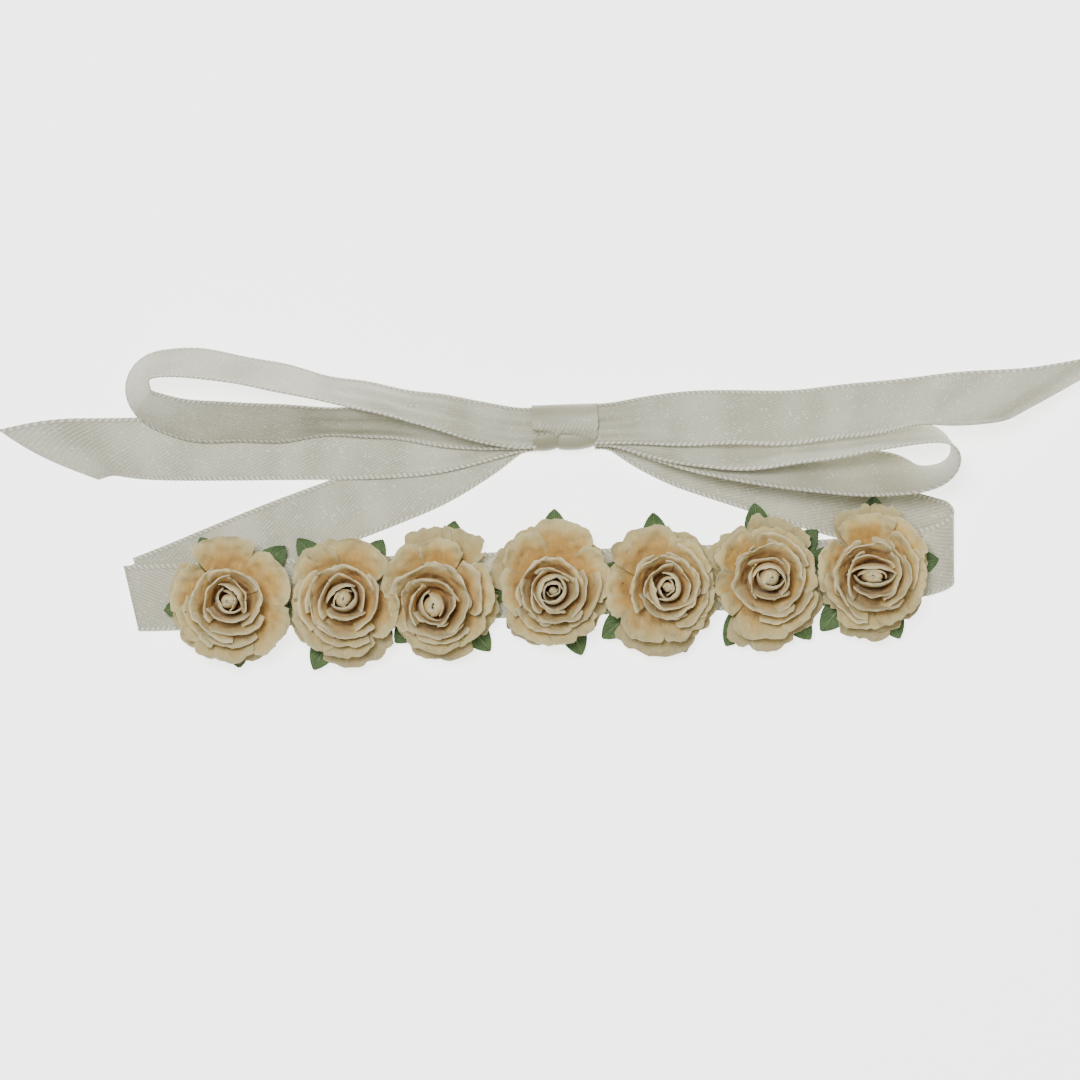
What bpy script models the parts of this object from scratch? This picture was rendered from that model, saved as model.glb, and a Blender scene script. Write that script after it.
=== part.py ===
"""Flower crown: seven paper roses along a satin ribbon that is tied in a bow.

The crown lies flat. +X runs along the front band, +Y from the band to the bow and +Z up off the
table. The origin is the middle of the front band's underside. Units are metres.
"""
import math
import random

import bmesh
import bpy
from mathutils import Vector

MM = 0.001
GAP = 0.3 * MM               # clearance between pieces that touch

# Ribbon
RIBBON_WIDTH = 15.0 * MM
RIBBON_THICK = 0.5 * MM
LAYER_STEP = 1.3 * MM        # spacing of the ribbon layers where they enter the knot
GATHER = 0.6                 # share of the width that is left where the ribbon enters the knot
RIBBON_STEPS = 3             # spans between two stations of a ribbon
LEFT_CUT = 20.0              # how far the slanted cut of each tail runs along it, in millimetres
RIGHT_CUT = 27.0
CUT_SPANS = 8                # spans that a tail's slanted cut is spread over
LEAD_IN = 3.0                # straight run of each layer outside the knot, in millimetres

# Front band and the ring that it closes
BAND_LEFT = -92.0 * MM       # the fold at the band's left end
BAND_RIGHT = 93.5 * MM       # the turn at the band's right end
FOLD_RADIUS = 0.75 * MM
TURN_RADIUS = 1.4 * MM
LEFT_STRAP_RISE = math.radians(24.0)
RIGHT_STRAP_RISE = math.radians(17.0)
FOLD_RETURN = 1.5 * MM       # ribbon past each fold that belongs to the band
STEP_UP_LEFT = -78.0 * MM + 3.0 * RIBBON_WIDTH    # where the band climbs over each strap; a wider
STEP_UP_RIGHT = 95.5 * MM - 2.4 * RIBBON_WIDTH    # ribbon meets it nearer to the middle
STEP_LENGTH = 8.0 * MM

# Knot
KNOT_X = 6.9 * MM
KNOT_Y = 35.5 * MM
KNOT_LENGTH = 15.0 * MM      # along X: the width of the ribbon that is wrapped round
KNOT_DEPTH = 10.6 * MM       # along Y
KNOT_HEIGHT = 6.8 * MM

# Roses
ROSE_COUNT = 7
ROSE_DIAMETER = 30.0 * MM
ROSE_HEIGHT = 14.0 * MM
PAPER_THICK = 0.4 * MM
WIRE_RADIUS = 0.6 * MM
PAD_RADIUS = 3.5 * MM
PAD_THICK = 0.8 * MM
CALYX_THICK = 0.4 * MM
SEPAL_REACH = 15.8 * MM
SEPAL_WAIST = 3.4 * MM
SEPAL_SHOULDER = 10.5 * MM
BETWEEN_ROSES = 0.35 * MM
LOOP_NEAR_Y = 15.6 * MM      # the roses reach no further across, where the bow's right loop stands

# Centre of each rose along and across the band, its size against ROSE_DIAMETER, and its turn
ROSES = [
    (-70.5 * MM, -1.2 * MM, 1.00, 20.0),
    (-44.4 * MM, -2.3 * MM, 0.95, 75.0),
    (-22.6 * MM, -1.5 * MM, 0.95, 5.0),
    (2.9 * MM, -0.3 * MM, 0.97, 50.0),
    (27.2 * MM, -2.0 * MM, 1.00, 33.0),
    (51.1 * MM, -1.0 * MM, 0.95, 62.0),
    (75.0 * MM, 0.1 * MM, 0.98, 12.0),
]

IVORY_SATIN = (0.52, 0.51, 0.44, 1.0)
PEACH_PAPER = (0.72, 0.50, 0.27, 1.0)
PALE_PAPER = (0.78, 0.60, 0.38, 1.0)
LEAF_GREEN = (0.06, 0.13, 0.04, 1.0)
WIRE_GREEN = (0.10, 0.16, 0.07, 1.0)
GLUE_CLEAR = (0.80, 0.78, 0.70, 1.0)

# Each whorl of petals from the outside in: its name, its number of petals, the share of the rose's
# room that it may use, the depth of its notches, shares of the rose's radius and height from the
# foot to the rim, and its color
WHORLS = [
    ("outer_petals", 6, 1.0, 0.16, [(0.34, 0.06), (0.68, 0.26), (1.00, 0.40)], PEACH_PAPER),
    ("middle_petals", 5, 0.9, 0.14, [(0.30, 0.16), (0.52, 0.42), (0.70, 0.66)], PEACH_PAPER),
    ("inner_petals", 5, 0.7, 0.12, [(0.24, 0.20), (0.34, 0.58), (0.44, 0.88)], PALE_PAPER),
]


# ---------------------------------------------------------------- helpers

def clear_scene():
    for obj in list(bpy.data.objects):
        bpy.data.objects.remove(obj, do_unlink=True)


def collection(name):
    made = bpy.data.collections.new(name)
    bpy.context.scene.collection.children.link(made)
    return made


def paint(obj, color, roughness):
    material = bpy.data.materials.new(obj.name)
    material.use_nodes = True
    shader = material.node_tree.nodes["Principled BSDF"]
    shader.inputs["Base Color"].default_value = color
    shader.inputs["Roughness"].default_value = roughness
    shader.inputs["Metallic"].default_value = 0.0
    obj.data.materials.append(material)


def smooth_path(rows, steps):
    """Cubic curve through rows of numbers that never swings past a row, with steps in each span."""
    def slope(before, after):
        return 2.0 * before * after / (before + after) if before * after > 0.0 else 0.0

    spans = [[b - a for a, b in zip(row, following)] for row, following in zip(rows, rows[1:])]
    slopes = [spans[0]]
    slopes += [[slope(p, q) for p, q in zip(before, after)] for before, after in zip(spans, spans[1:])]
    slopes += [spans[-1]]
    path = []
    for i in range(len(spans)):
        for k in range(steps):
            t = k / steps
            blend = t * t * (3.0 - 2.0 * t)
            leave = t * (1.0 - t) ** 2
            arrive = t * t * (1.0 - t)
            path.append(tuple(
                start + blend * span + leave * first - arrive * last
                for start, span, first, last in zip(rows[i], spans[i], slopes[i], slopes[i + 1])))
    path.append(tuple(rows[-1]))
    return path


def sheet(name, surface, thickness, color, roughness, place, home):
    """An object from a bmesh surface, thickened evenly to both sides of it."""
    mesh = bpy.data.meshes.new(name)
    surface.to_mesh(mesh)
    surface.free()
    mesh.shade_smooth()
    obj = bpy.data.objects.new(name, mesh)
    obj.location = place
    home.objects.link(obj)
    solid = obj.modifiers.new("thickness", "SOLIDIFY")
    solid.thickness = thickness
    solid.offset = 0.0
    paint(obj, color, roughness)


def strip(name, low_edge, high_edge, home, hinge=Vector((0.0, 0.0, 0.0)), closed=False):
    """A ribbon between two edges with the same number of points. closed joins its end to its start."""
    surface = bmesh.new()
    pairs = [(surface.verts.new(low - hinge), surface.verts.new(high - hinge))
             for low, high in zip(low_edge, high_edge)]
    followers = pairs[1:] + pairs[:1] if closed else pairs[1:]
    for (a, b), (c, d) in zip(pairs, followers):
        surface.faces.new((a, b, d, c))
    sheet(name, surface, RIBBON_THICK, IVORY_SATIN, 0.35, hinge, home)


def ribbon_edges(stations, steps, cut=0.0):
    """Both edges of a ribbon through stations of (x, y, rim, lean, share), in millimetres and degrees.

    rim is the height of its lower edge. lean is how far the edge on the right of the way along
    rises out of level. share is how much of the full width is left where the ribbon is gathered.
    cut is how much further the right-hand edge runs than the left-hand one at the far end.
    """
    path = smooth_path(stations, steps)
    low_edge, high_edge = [], []
    for i, (x, y, rim, lean, share) in enumerate(path):
        width = share * RIBBON_WIDTH / MM
        before = path[max(i - 1, 0)]
        after = path[min(i + 1, len(path) - 1)]
        along = Vector((after[0] - before[0], after[1] - before[1], 0.0)).normalized()
        right = Vector((along.y, -along.x, 0.0))
        tip = math.radians(lean)
        half = 0.5 * width * (math.cos(tip) * right + Vector((0.0, 0.0, math.sin(tip))))
        centre = Vector((x, y, rim + abs(half.z)))
        low_edge.append(centre - half)
        high_edge.append(centre + half)
    if cut:
        forward = (high_edge[-1] + low_edge[-1] - high_edge[-3] - low_edge[-3]).normalized()
        first = len(path) - 1 - CUT_SPANS
        for i in range(first, len(path)):
            shift = 0.5 * cut * ((i - first) / CUT_SPANS) ** 2 * forward
            low_edge[i] = low_edge[i] - shift
            high_edge[i] = high_edge[i] + shift
    return [p * MM for p in low_edge], [p * MM for p in high_edge]


# ---------------------------------------------------------------- ribbon

KNOT_LEFT = (KNOT_X - 0.5 * KNOT_LENGTH - 2.0 * GAP) / MM
KNOT_RIGHT = (KNOT_X + 0.5 * KNOT_LENGTH + 2.0 * GAP) / MM
ENTRY_Y = KNOT_Y / MM


def deck(layers):
    """Height of the middle of a ribbon that lies flat on that many others."""
    return (0.5 * RIBBON_THICK + layers * (RIBBON_THICK + GAP)) / MM


def layer(number):
    """Height of the numbered layer, counted from 0 at the bottom, where it enters the knot."""
    return (RIBBON_THICK + 3.0 * GAP + number * LAYER_STEP) / MM


def hinge_point(side):
    """A point on the axis, across the knot's left (-1) or right (+1) face and over its top layer,
    that the loop and the tail on that side lift about."""
    face = KNOT_LEFT if side < 0 else KNOT_RIGHT
    return Vector((face * MM - side * GAP, KNOT_Y, layer(3) * MM + 0.5 * RIBBON_THICK + GAP))


def band_height(x):
    """Height of the band's middle surface: on the table between its two steps, over a strap outside them."""
    low = 0.5 * RIBBON_THICK
    high = low + RIBBON_THICK + GAP
    left = (STEP_UP_LEFT - x) / STEP_LENGTH + 0.5
    right = (x - STEP_UP_RIGHT) / STEP_LENGTH + 0.5
    rise = min(max(left, right, 0.0), 1.0)
    return low + (high - low) * rise * rise * (3.0 - 2.0 * rise)


def turn_points(edge_x, edge_y, side, radius, rise, foot):
    """Half turn of one edge, from the band down to the strap's level.

    side is -1 at the left end and +1 at the right. rise is the strap's angle to the band.
    """
    points = []
    for k in range(5):
        angle = math.pi * k / 4
        out = side * radius * math.sin(angle)
        up = radius * (1.0 + math.cos(angle))
        points.append(Vector((edge_x + out, edge_y, foot + up)))
    run = Vector((-side * math.cos(rise), math.sin(rise), 0.0)) * FOLD_RETURN
    points.append(Vector((edge_x, edge_y, foot)) + run)
    return points


def front_band(home):
    """The level ribbon under the roses, with the fold at its left end and the turn at its right."""
    half = 0.5 * RIBBON_WIDTH
    foot = 0.5 * RIBBON_THICK
    slant_left = math.tan(0.5 * LEFT_STRAP_RISE)
    slant_right = math.tan(0.5 * RIGHT_STRAP_RISE)
    level = []
    for centre, reach in ((STEP_UP_LEFT, STEP_LENGTH), (STEP_UP_RIGHT, STEP_LENGTH)):
        level += [centre + reach * (k / 4 - 0.5) for k in range(5)]
    stops = [BAND_LEFT + 10.0 * MM] + level + [BAND_RIGHT - 10.0 * MM]
    edges = []
    for y in (-half, half):
        left_end = BAND_LEFT - y * slant_left
        right_end = BAND_RIGHT + y * slant_right
        points = list(reversed(turn_points(left_end, y, -1, FOLD_RADIUS, LEFT_STRAP_RISE, foot)))
        points += [Vector((x, y, band_height(x))) for x in stops]
        points += turn_points(right_end, y, 1, TURN_RADIUS, RIGHT_STRAP_RISE, foot)
        edges.append(points)
    strip("front_band", edges[0], edges[1], home)


def strap(name, side, end_x, rise, bends, home):
    """Ribbon from one end of the band, along the table, up to the knot's lowest layer."""
    half = 0.5 * RIBBON_WIDTH
    slant = side * math.tan(0.5 * rise)
    run = Vector((-side * math.cos(rise), math.sin(rise), 0.0)) * (FOLD_RETURN + GAP)
    lower = [Vector((end_x - half * slant, -half, 0.5 * RIBBON_THICK)) + run]
    upper = [Vector((end_x + half * slant, half, 0.5 * RIBBON_THICK)) + run]
    left_hand, right_hand = ribbon_edges(bends, RIBBON_STEPS)
    lower += left_hand if side > 0 else right_hand
    upper += right_hand if side > 0 else left_hand
    strip(name, lower, upper, home)


def entry(side, number, shift=0.0, lean=0.0):
    """The numbered layer's two stations at the knot's left (-1) or right (+1) face, innermost first."""
    face = KNOT_LEFT if side < 0 else KNOT_RIGHT
    inner = (face, ENTRY_Y + shift, layer(number), lean, GATHER)
    outer = (face + side * LEAD_IN, ENTRY_Y + shift, layer(number), lean, GATHER)
    return [inner, outer]


def straps(home):
    """The two runs of ribbon that close the ring behind the roses."""
    flat = deck(0)
    left = [
        (-82.0, 5.2, flat, 0, 1.0), (-72.0, 8.6, flat, 0, 1.0), (-58.0, 13.2, flat, 0, 1.0),
        (-42.0, 18.6, flat, 0, 1.0), (-26.5, 24.6, flat, 0, 1.0), (-12.6, 30.6, flat + 0.6, 0, 0.8),
    ]
    right = [
        (84.0, 6.4, flat, 0, 1.0), (76.0, 11.0, flat, 0, 1.0), (64.0, 16.8, flat, 0, 1.0),
        (50.0, 22.3, flat, 0, 1.0), (36.0, 27.4, flat, 0, 1.0), (25.0, 31.4, flat + 0.6, 0, 0.8),
    ]
    left += reversed(entry(-1, 0, shift=-0.6))
    right += reversed(entry(1, 0, shift=-0.6))
    strap("left_strap", -1, BAND_LEFT, LEFT_STRAP_RISE, left, home)
    strap("right_strap", 1, BAND_RIGHT, RIGHT_STRAP_RISE, right, home)


def tails(home):
    """The two free ends. The left one lies on the table, the right one leans on the right loop."""
    left = entry(-1, 1, shift=-0.6) + [
        (-13.5, 33.4, deck(1) + 1.0, 0, 0.73), (-26.0, 32.4, deck(1) + 0.2, 0, 0.9),
        (-44.0, 32.9, deck(1), 0, 1.0), (-58.0, 33.3, deck(0) + 0.3, 0, 1.0), (-70.0, 33.6, deck(0), 0, 1.0),
        (-92.0, 34.1, deck(0), 0, 1.0), (-103.0, 34.9, deck(0), 0, 1.0), (-111.5, 34.2, deck(0), 0, 1.0),
    ]
    low, high = ribbon_edges(left, RIBBON_STEPS, cut=LEFT_CUT)
    strip("left_tail", low, high, home, hinge_point(-1))
    right = entry(1, 3, shift=0.4) + [
        (26.5, 36.4, 5.0, 14, 0.77), (37.6, 36.4, 3.2, 26, 0.93), (56.7, 36.0, 1.1, 34, 1.0),
        (71.8, 36.8, 1.2, 36, 1.0), (84.0, 38.4, 1.6, 40, 1.0), (95.0, 40.0, 1.4, 42, 1.0),
        (104.0, 41.4, 1.0, 34, 1.0), (113.0, 43.2, 1.4, 18, 1.0), (121.5, 46.0, 2.0, 6, 1.0),
    ]
    low, high = ribbon_edges(right, RIBBON_STEPS, cut=-RIGHT_CUT)
    strip("right_tail", low, high, home, hinge_point(1))


def loops(home):
    """The two bow loops. Both bands stand on edge: the left one leans inwards all round, and the
    right one leans over towards the roses."""
    left = entry(-1, 2) + [
        (-13.5, 35.8, layer(2) - 0.4, 10, 0.64), (-23.0, 36.8, deck(2) + 1.0, 30, 0.67),
        (-34.0, 38.0, deck(2) + 0.3, 50, 0.73), (-44.5, 38.3, deck(2) + 0.1, 62, 0.83),
        (-58.5, 38.6, deck(1) + 0.5, 58, 1.0), (-74.0, 39.4, deck(1) + 0.3, 54, 1.0),
        (-84.5, 41.6, deck(1) + 0.2, 56, 1.0), (-89.6, 44.6, deck(1) + 0.2, 60, 1.0),
        (-90.0, 49.6, deck(1) + 0.2, 62, 1.0), (-86.0, 52.9, deck(1) + 0.1, 62, 1.0),
        (-79.0, 53.2, deck(1) + 0.1, 62, 1.0),
        (-68.7, 51.4, deck(1) + 0.1, 62, 1.0), (-56.5, 48.6, deck(1) + 0.2, 64, 1.0),
        (-44.5, 45.4, deck(2) + 0.4, 62, 0.9), (-34.0, 43.0, layer(2), 56, 0.8),
        (-23.0, 40.2, layer(3) + 0.7, 42, 0.7), (-13.5, 37.6, layer(3) + 1.2, 18, 0.64),
    ] + list(reversed(entry(-1, 3)))
    low, high = ribbon_edges(left, RIBBON_STEPS)
    strip("left_loop", low, high, home, hinge_point(-1))
    right = entry(1, 2) + [
        (26.5, 33.4, layer(2) - 0.8, 16, 0.73), (37.0, 30.6, deck(1) + 1.1, 36, 0.87),
        (50.0, 28.9, deck(0) + 0.7, 52, 1.0), (64.0, 29.3, deck(0) + 0.5, 60, 1.0),
        (76.0, 31.0, deck(0) + 0.5, 62, 1.0), (86.0, 31.6, deck(0) + 0.5, 68, 1.0),
        (93.4, 29.8, deck(0) + 0.5, 80, 1.0), (95.6, 26.4, deck(0) + 0.5, 90, 1.0),
        (93.0, 22.4, deck(0) + 0.5, 104, 1.0), (86.4, 20.5, deck(0) + 0.5, 116, 1.0),
        (81.0, 21.4, deck(0) + 0.4, 132, 1.0), (74.0, 22.0, deck(0) + 0.3, 132, 1.0),
        (64.0, 23.4, deck(0) + 0.2, 130, 1.0),
        (50.0, 25.8, deck(1) - 0.2, 136, 0.93), (37.0, 29.2, deck(1) + 0.2, 148, 0.8),
        (26.5, 32.6, deck(2) + 0.2, 168, 0.67),
    ] + list(reversed(entry(1, 1, lean=180.0)))
    low, high = ribbon_edges(right, RIBBON_STEPS)
    strip("right_loop", low, high, home, hinge_point(1))


def oval(depth, height, count):
    """Points of an upright rounded outline in the YZ plane."""
    points = []
    for k in range(count):
        angle = 2.0 * math.pi * k / count
        c, s = math.cos(angle), math.sin(angle)
        y = 0.5 * depth * math.copysign(abs(c) ** 0.7, c)
        z = 0.5 * height * math.copysign(abs(s) ** 0.7, s)
        points.append((y, z))
    return points


def knot(home):
    """One turn of ribbon round the crossed layers that it holds."""
    middle = Vector((KNOT_X, KNOT_Y, 0.5 * KNOT_HEIGHT))
    half = Vector((0.5 * KNOT_LENGTH, 0.0, 0.0))
    ring = [middle + Vector((0.0, y, z))
            for y, z in oval(KNOT_DEPTH - RIBBON_THICK, KNOT_HEIGHT - RIBBON_THICK, 20)]
    strip("knot_wrap", [p - half for p in ring], [p + half for p in ring], home, closed=True)

    inset = 2.0 * (RIBBON_THICK + GAP)
    bpy.ops.mesh.primitive_cube_add(size=1.0, location=middle)
    core = bpy.context.active_object
    core.name = "knot_core"
    core.dimensions = (KNOT_LENGTH, KNOT_DEPTH - inset - 2.0 * GAP, KNOT_HEIGHT - inset - GAP)
    bpy.ops.object.transform_apply(location=False, rotation=False, scale=True)
    rounding = core.modifiers.new("rounding", "BEVEL")
    rounding.width = 1.2 * MM
    rounding.segments = 2
    for old in list(core.users_collection):
        old.objects.unlink(core)
    home.objects.link(core)
    paint(core, IVORY_SATIN, 0.35)


# ---------------------------------------------------------------- roses

def room(number):
    """How far a rose may reach to its left, to its right and upwards before it meets its neighbours."""
    x, y = ROSES[number][:2]
    left = 0.5 * (x - ROSES[number - 1][0]) if number > 0 else ROSE_DIAMETER
    right = 0.5 * (ROSES[number + 1][0] - x) if number + 1 < ROSE_COUNT else ROSE_DIAMETER
    return left - 0.5 * BETWEEN_ROSES, right - 0.5 * BETWEEN_ROSES, LOOP_NEAR_Y - y


def fit_reach(reach, angle, limits):
    """The reach in a direction, cut back where the next rose or the bow's loop stands."""
    left, right, above = limits
    along, across = math.cos(angle), math.sin(angle)
    side = right if along > 0 else left
    if abs(along) * reach > side:
        reach = side / abs(along)
    if across * reach > above:
        reach = above / across
    return reach


def whorl(name, profile, lobes, turn, depth, limits, place, color, seed, home):
    """A ring of joined paper petals: a cup with a lobed, gently waved rim.

    profile is a list of (radius, height) from the centre hole to the rim. depth is how deep the
    notches between the lobes are, as a share of the radius.
    """
    rng = random.Random(seed)
    tilt = [rng.uniform(-1.0, 1.0) for _ in range(lobes)]
    count = lobes * 5
    surface = bmesh.new()
    rings = []
    for step, (radius, height) in enumerate(profile):
        share = step / (len(profile) - 1)
        ring = []
        for k in range(count):
            angle = turn + 2.0 * math.pi * k / count
            petal = abs(math.sin(0.5 * lobes * (angle - turn))) ** 0.6
            reach = radius * (1.0 - depth * share * share * (1.0 - petal))
            reach = fit_reach(reach, angle, limits)
            wave = share * share * 0.35 * MM * tilt[int(lobes * k / count) % lobes] * petal
            ring.append(surface.verts.new((reach * math.cos(angle), reach * math.sin(angle), height + wave)))
        rings.append(ring)
    for inner, outer in zip(rings, rings[1:]):
        for k in range(count):
            n = (k + 1) % count
            surface.faces.new((inner[k], outer[k], outer[n], inner[n]))
    sheet(name, surface, PAPER_THICK, color, 0.9, place, home)


def bud(name, radius, bottom, top, turn, place, home):
    """A strip of paper rolled two turns, a little wider at the top."""
    count = 18
    turns = 1.9
    inner = WIRE_RADIUS + PAPER_THICK + 0.1 * MM
    surface = bmesh.new()
    columns = []
    for k in range(count + 1):
        share = k / count
        angle = turn + 2.0 * math.pi * turns * share
        reach = inner + (radius - inner) * share
        column = []
        for height, flare in ((bottom, 0.82), (top - 0.8 * MM * share, 1.0)):
            out = flare * reach
            column.append(surface.verts.new((out * math.cos(angle), out * math.sin(angle), height)))
        columns.append(column)
    for (a, b), (c, d) in zip(columns, columns[1:]):
        surface.faces.new((a, c, d, b))
    sheet(name, surface, PAPER_THICK, PALE_PAPER, 0.9, place, home)


def calyx(name, limits, turn, place, home):
    """Five pointed green sepals cut from one flat piece, with a hole for the wire."""
    curve = bpy.data.curves.new(name, "CURVE")
    curve.dimensions = "2D"
    curve.fill_mode = "BOTH"
    curve.extrude = 0.5 * CALYX_THICK
    outline = curve.splines.new("POLY")
    tip, waist, shoulder = SEPAL_REACH, SEPAL_WAIST, SEPAL_SHOULDER
    points = []
    for sepal in range(5):
        middle = turn + 2.0 * math.pi * sepal / 5
        for offset, reach in ((-36.0, waist), (-16.0, shoulder), (0.0, tip), (16.0, shoulder)):
            angle = middle + math.radians(offset)
            reach = fit_reach(reach, angle, limits)
            points.append((reach * math.cos(angle), reach * math.sin(angle), 0.0, 1.0))
    outline.points.add(len(points) - 1)
    for point, place_of in zip(outline.points, points):
        point.co = place_of
    outline.use_cyclic_u = True
    hole = curve.splines.new("POLY")
    sides = 10
    hole.points.add(sides - 1)
    for k, point in enumerate(hole.points):
        angle = 2.0 * math.pi * k / sides
        reach = WIRE_RADIUS + GAP
        point.co = (reach * math.cos(angle), reach * math.sin(angle), 0.0, 1.0)
    hole.use_cyclic_u = True
    obj = bpy.data.objects.new(name, curve)
    obj.location = place
    home.objects.link(obj)
    paint(obj, LEAF_GREEN, 0.8)


def round_piece(name, radius, bottom, top, sides, x, y, color, roughness, home):
    """An upright cylinder between two heights."""
    bpy.ops.mesh.primitive_cylinder_add(vertices=sides, radius=radius, depth=top - bottom,
                                        location=(x, y, 0.5 * (bottom + top)))
    obj = bpy.context.active_object
    obj.name = name
    for old in list(obj.users_collection):
        old.objects.unlink(obj)
    home.objects.link(obj)
    paint(obj, color, roughness)


def rose(number, home):
    """One rose on the band: glue pad, calyx, three whorls of petals, rolled bud and wire stem."""
    x, y, size, turn_degrees = ROSES[number]
    turn = math.radians(turn_degrees)
    radius = 0.5 * ROSE_DIAMETER * size
    limits = room(number)
    title = "rose_%d_" % (number + 1)

    band_top = max(band_height(x + side * PAD_RADIUS) for side in (-1, 0, 1)) + 0.5 * RIBBON_THICK
    pad_bottom = band_top + GAP
    pad_top = pad_bottom + PAD_THICK
    leaf = pad_top + GAP + 0.5 * CALYX_THICK
    base = leaf + 0.5 * CALYX_THICK + GAP + 0.5 * PAPER_THICK
    hole = WIRE_RADIUS + GAP + PAPER_THICK
    round_piece(title + "glue_pad", PAD_RADIUS, pad_bottom, pad_top, 16, x, y, GLUE_CLEAR, 0.4, home)
    calyx(title + "calyx", limits, turn + 0.3, (x, y, leaf), home)

    lift = 0.0
    for order, (kind, lobes, share, notch, rises, color) in enumerate(WHORLS):
        lift = order * (PAPER_THICK + 2.0 * GAP)
        profile = [(hole, lift)] + [(wide * radius, high * ROSE_HEIGHT) for wide, high in rises]
        profile[1] = (profile[1][0], profile[1][1] + lift)
        space = [share * limit for limit in limits]
        whorl(title + kind, profile, lobes, turn + 0.5 * order, notch, space, (x, y, base), color,
              number + 20 * order, home)

    bud_bottom = 0.36 * ROSE_HEIGHT + lift
    bud(title + "bud", 0.24 * radius, bud_bottom, ROSE_HEIGHT - 0.5 * PAPER_THICK, turn, (x, y, base), home)
    round_piece(title + "wire", WIRE_RADIUS, pad_top + GAP, base + bud_bottom - GAP, 10, x, y,
                WIRE_GREEN, 0.7, home)


def main():
    clear_scene()
    home = collection("flower_crown")
    front_band(home)
    straps(home)
    tails(home)
    loops(home)
    knot(home)
    for number in range(ROSE_COUNT):
        rose(number, home)


main()
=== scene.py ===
"""Looks of the flower crown: a satin ribbon tied in a bow, seven paper roses, floor, lights and camera.

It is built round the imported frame: +X runs along the front band, +Y from the band to the bow, +Z up
off the table. Shapes are worked out in millimetres and turned into metres when a mesh is made.
"""
import math
import random

import bpy
import numpy as np
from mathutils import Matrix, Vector, noise


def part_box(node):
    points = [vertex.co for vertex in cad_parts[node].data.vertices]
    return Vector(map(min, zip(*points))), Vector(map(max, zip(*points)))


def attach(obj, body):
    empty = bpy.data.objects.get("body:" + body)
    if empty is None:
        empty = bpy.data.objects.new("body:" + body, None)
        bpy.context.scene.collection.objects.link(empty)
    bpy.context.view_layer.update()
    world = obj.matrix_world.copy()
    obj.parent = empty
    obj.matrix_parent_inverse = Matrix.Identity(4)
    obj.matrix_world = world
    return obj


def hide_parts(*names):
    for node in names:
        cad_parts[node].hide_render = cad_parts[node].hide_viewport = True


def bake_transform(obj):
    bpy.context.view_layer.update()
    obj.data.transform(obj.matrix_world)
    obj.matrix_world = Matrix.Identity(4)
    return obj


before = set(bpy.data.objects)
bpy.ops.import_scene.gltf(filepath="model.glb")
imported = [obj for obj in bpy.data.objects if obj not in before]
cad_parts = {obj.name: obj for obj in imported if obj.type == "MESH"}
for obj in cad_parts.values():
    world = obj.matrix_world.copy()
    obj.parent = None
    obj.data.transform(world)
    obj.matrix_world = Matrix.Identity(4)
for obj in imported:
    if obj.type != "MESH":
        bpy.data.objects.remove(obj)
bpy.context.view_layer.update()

MM = 0.001

# Ribbon
RIBBON_WIDTH = 15.0
RIBBON_THICK = 0.3
STEP = 0.4                   # length of ribbon between two rows of the mesh
SOFTEN = 2.4                 # how far along the ribbon its bends are evened out
RIPPLE_FADE = 8.0            # how far from its ends a ribbon's ripples fade out
TWILL_PITCH = 0.80           # from one line of the twill to the next
POINT_PITCH = 0.66           # from one bright point on such a line to the next
STITCH_PITCH = 1.25          # one loop of the selvedge
STITCH_WIDE = 0.85           # width of the selvedge
STITCH_OUT = 0.13            # how far a loop stands out past the edge
PLEATS = 2.5                 # folds across the ribbon where the knot gathers it
PLEAT_HIGH = 0.42
DECK_LOW = 0.25              # height of the middle of a ribbon that lies on the table
DECK_STEP = 0.8              # height that each ribbon below it adds

# Knot, from the CAD box of its wrap
KNOT_LOW, KNOT_HIGH = (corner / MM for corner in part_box("knot_wrap"))
KNOT_MIDDLE = 0.5 * (KNOT_LOW + KNOT_HIGH)
KNOT_SIZE = KNOT_HIGH - KNOT_LOW
INSIDE = 0.9                 # how far the visible ribbon runs on into the knot
LEAD_IN = 3.0                # how far outside the knot it stays gathered
LAYER_LOW = 1.4              # height of the lowest layer that enters the knot
LAYER_STEP = 1.3
GATHER = 0.6                 # share of the full width that is left at the knot
HINGE_LONG = 5.0             # length of ribbon that bends when a strand lifts
TUCK_SHADE_TONE = 1.5              # above 1 the ribbon is darkened by painted shade, as inside the knot

# Roses
ROSE_COUNT = 7
PAPER_THICK = 0.25
LEAF_THICK = 0.28
LEAF_FOOT = 0.3              # height of the leaves' middle over the glue pad
PETAL_FOOT = 0.4
PETAL_ROWS = 14
PETAL_COLUMNS = 18
NOTCH_WIDE = 0.13            # of a notch in a petal's rim, in half widths of the petal
CREASE_WIDE = 0.11
STEM_RADIUS = 0.6


# ---- curves

def smooth_path(rows, steps):
    """Cubic curve through rows of numbers that never swings past a row, with steps in each span."""
    rows = np.array(rows, float)
    spans = np.diff(rows, axis=0)
    before, after = spans[:-1], spans[1:]
    product = before * after
    total = np.where(np.abs(before + after) < 1e-9, 1.0, before + after)
    inner = np.where(product > 0.0, 2.0 * product / total, 0.0)
    slopes = np.vstack([spans[:1], inner, spans[-1:]])
    t = (np.arange(steps) / steps)[:, None]
    blend = t * t * (3.0 - 2.0 * t)
    leave = t * (1.0 - t) ** 2
    arrive = t * t * (1.0 - t)
    pieces = [rows[i] + blend * spans[i] + leave * slopes[i] - arrive * slopes[i + 1]
              for i in range(len(spans))]
    return np.vstack(pieces + [rows[-1:]])


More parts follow.
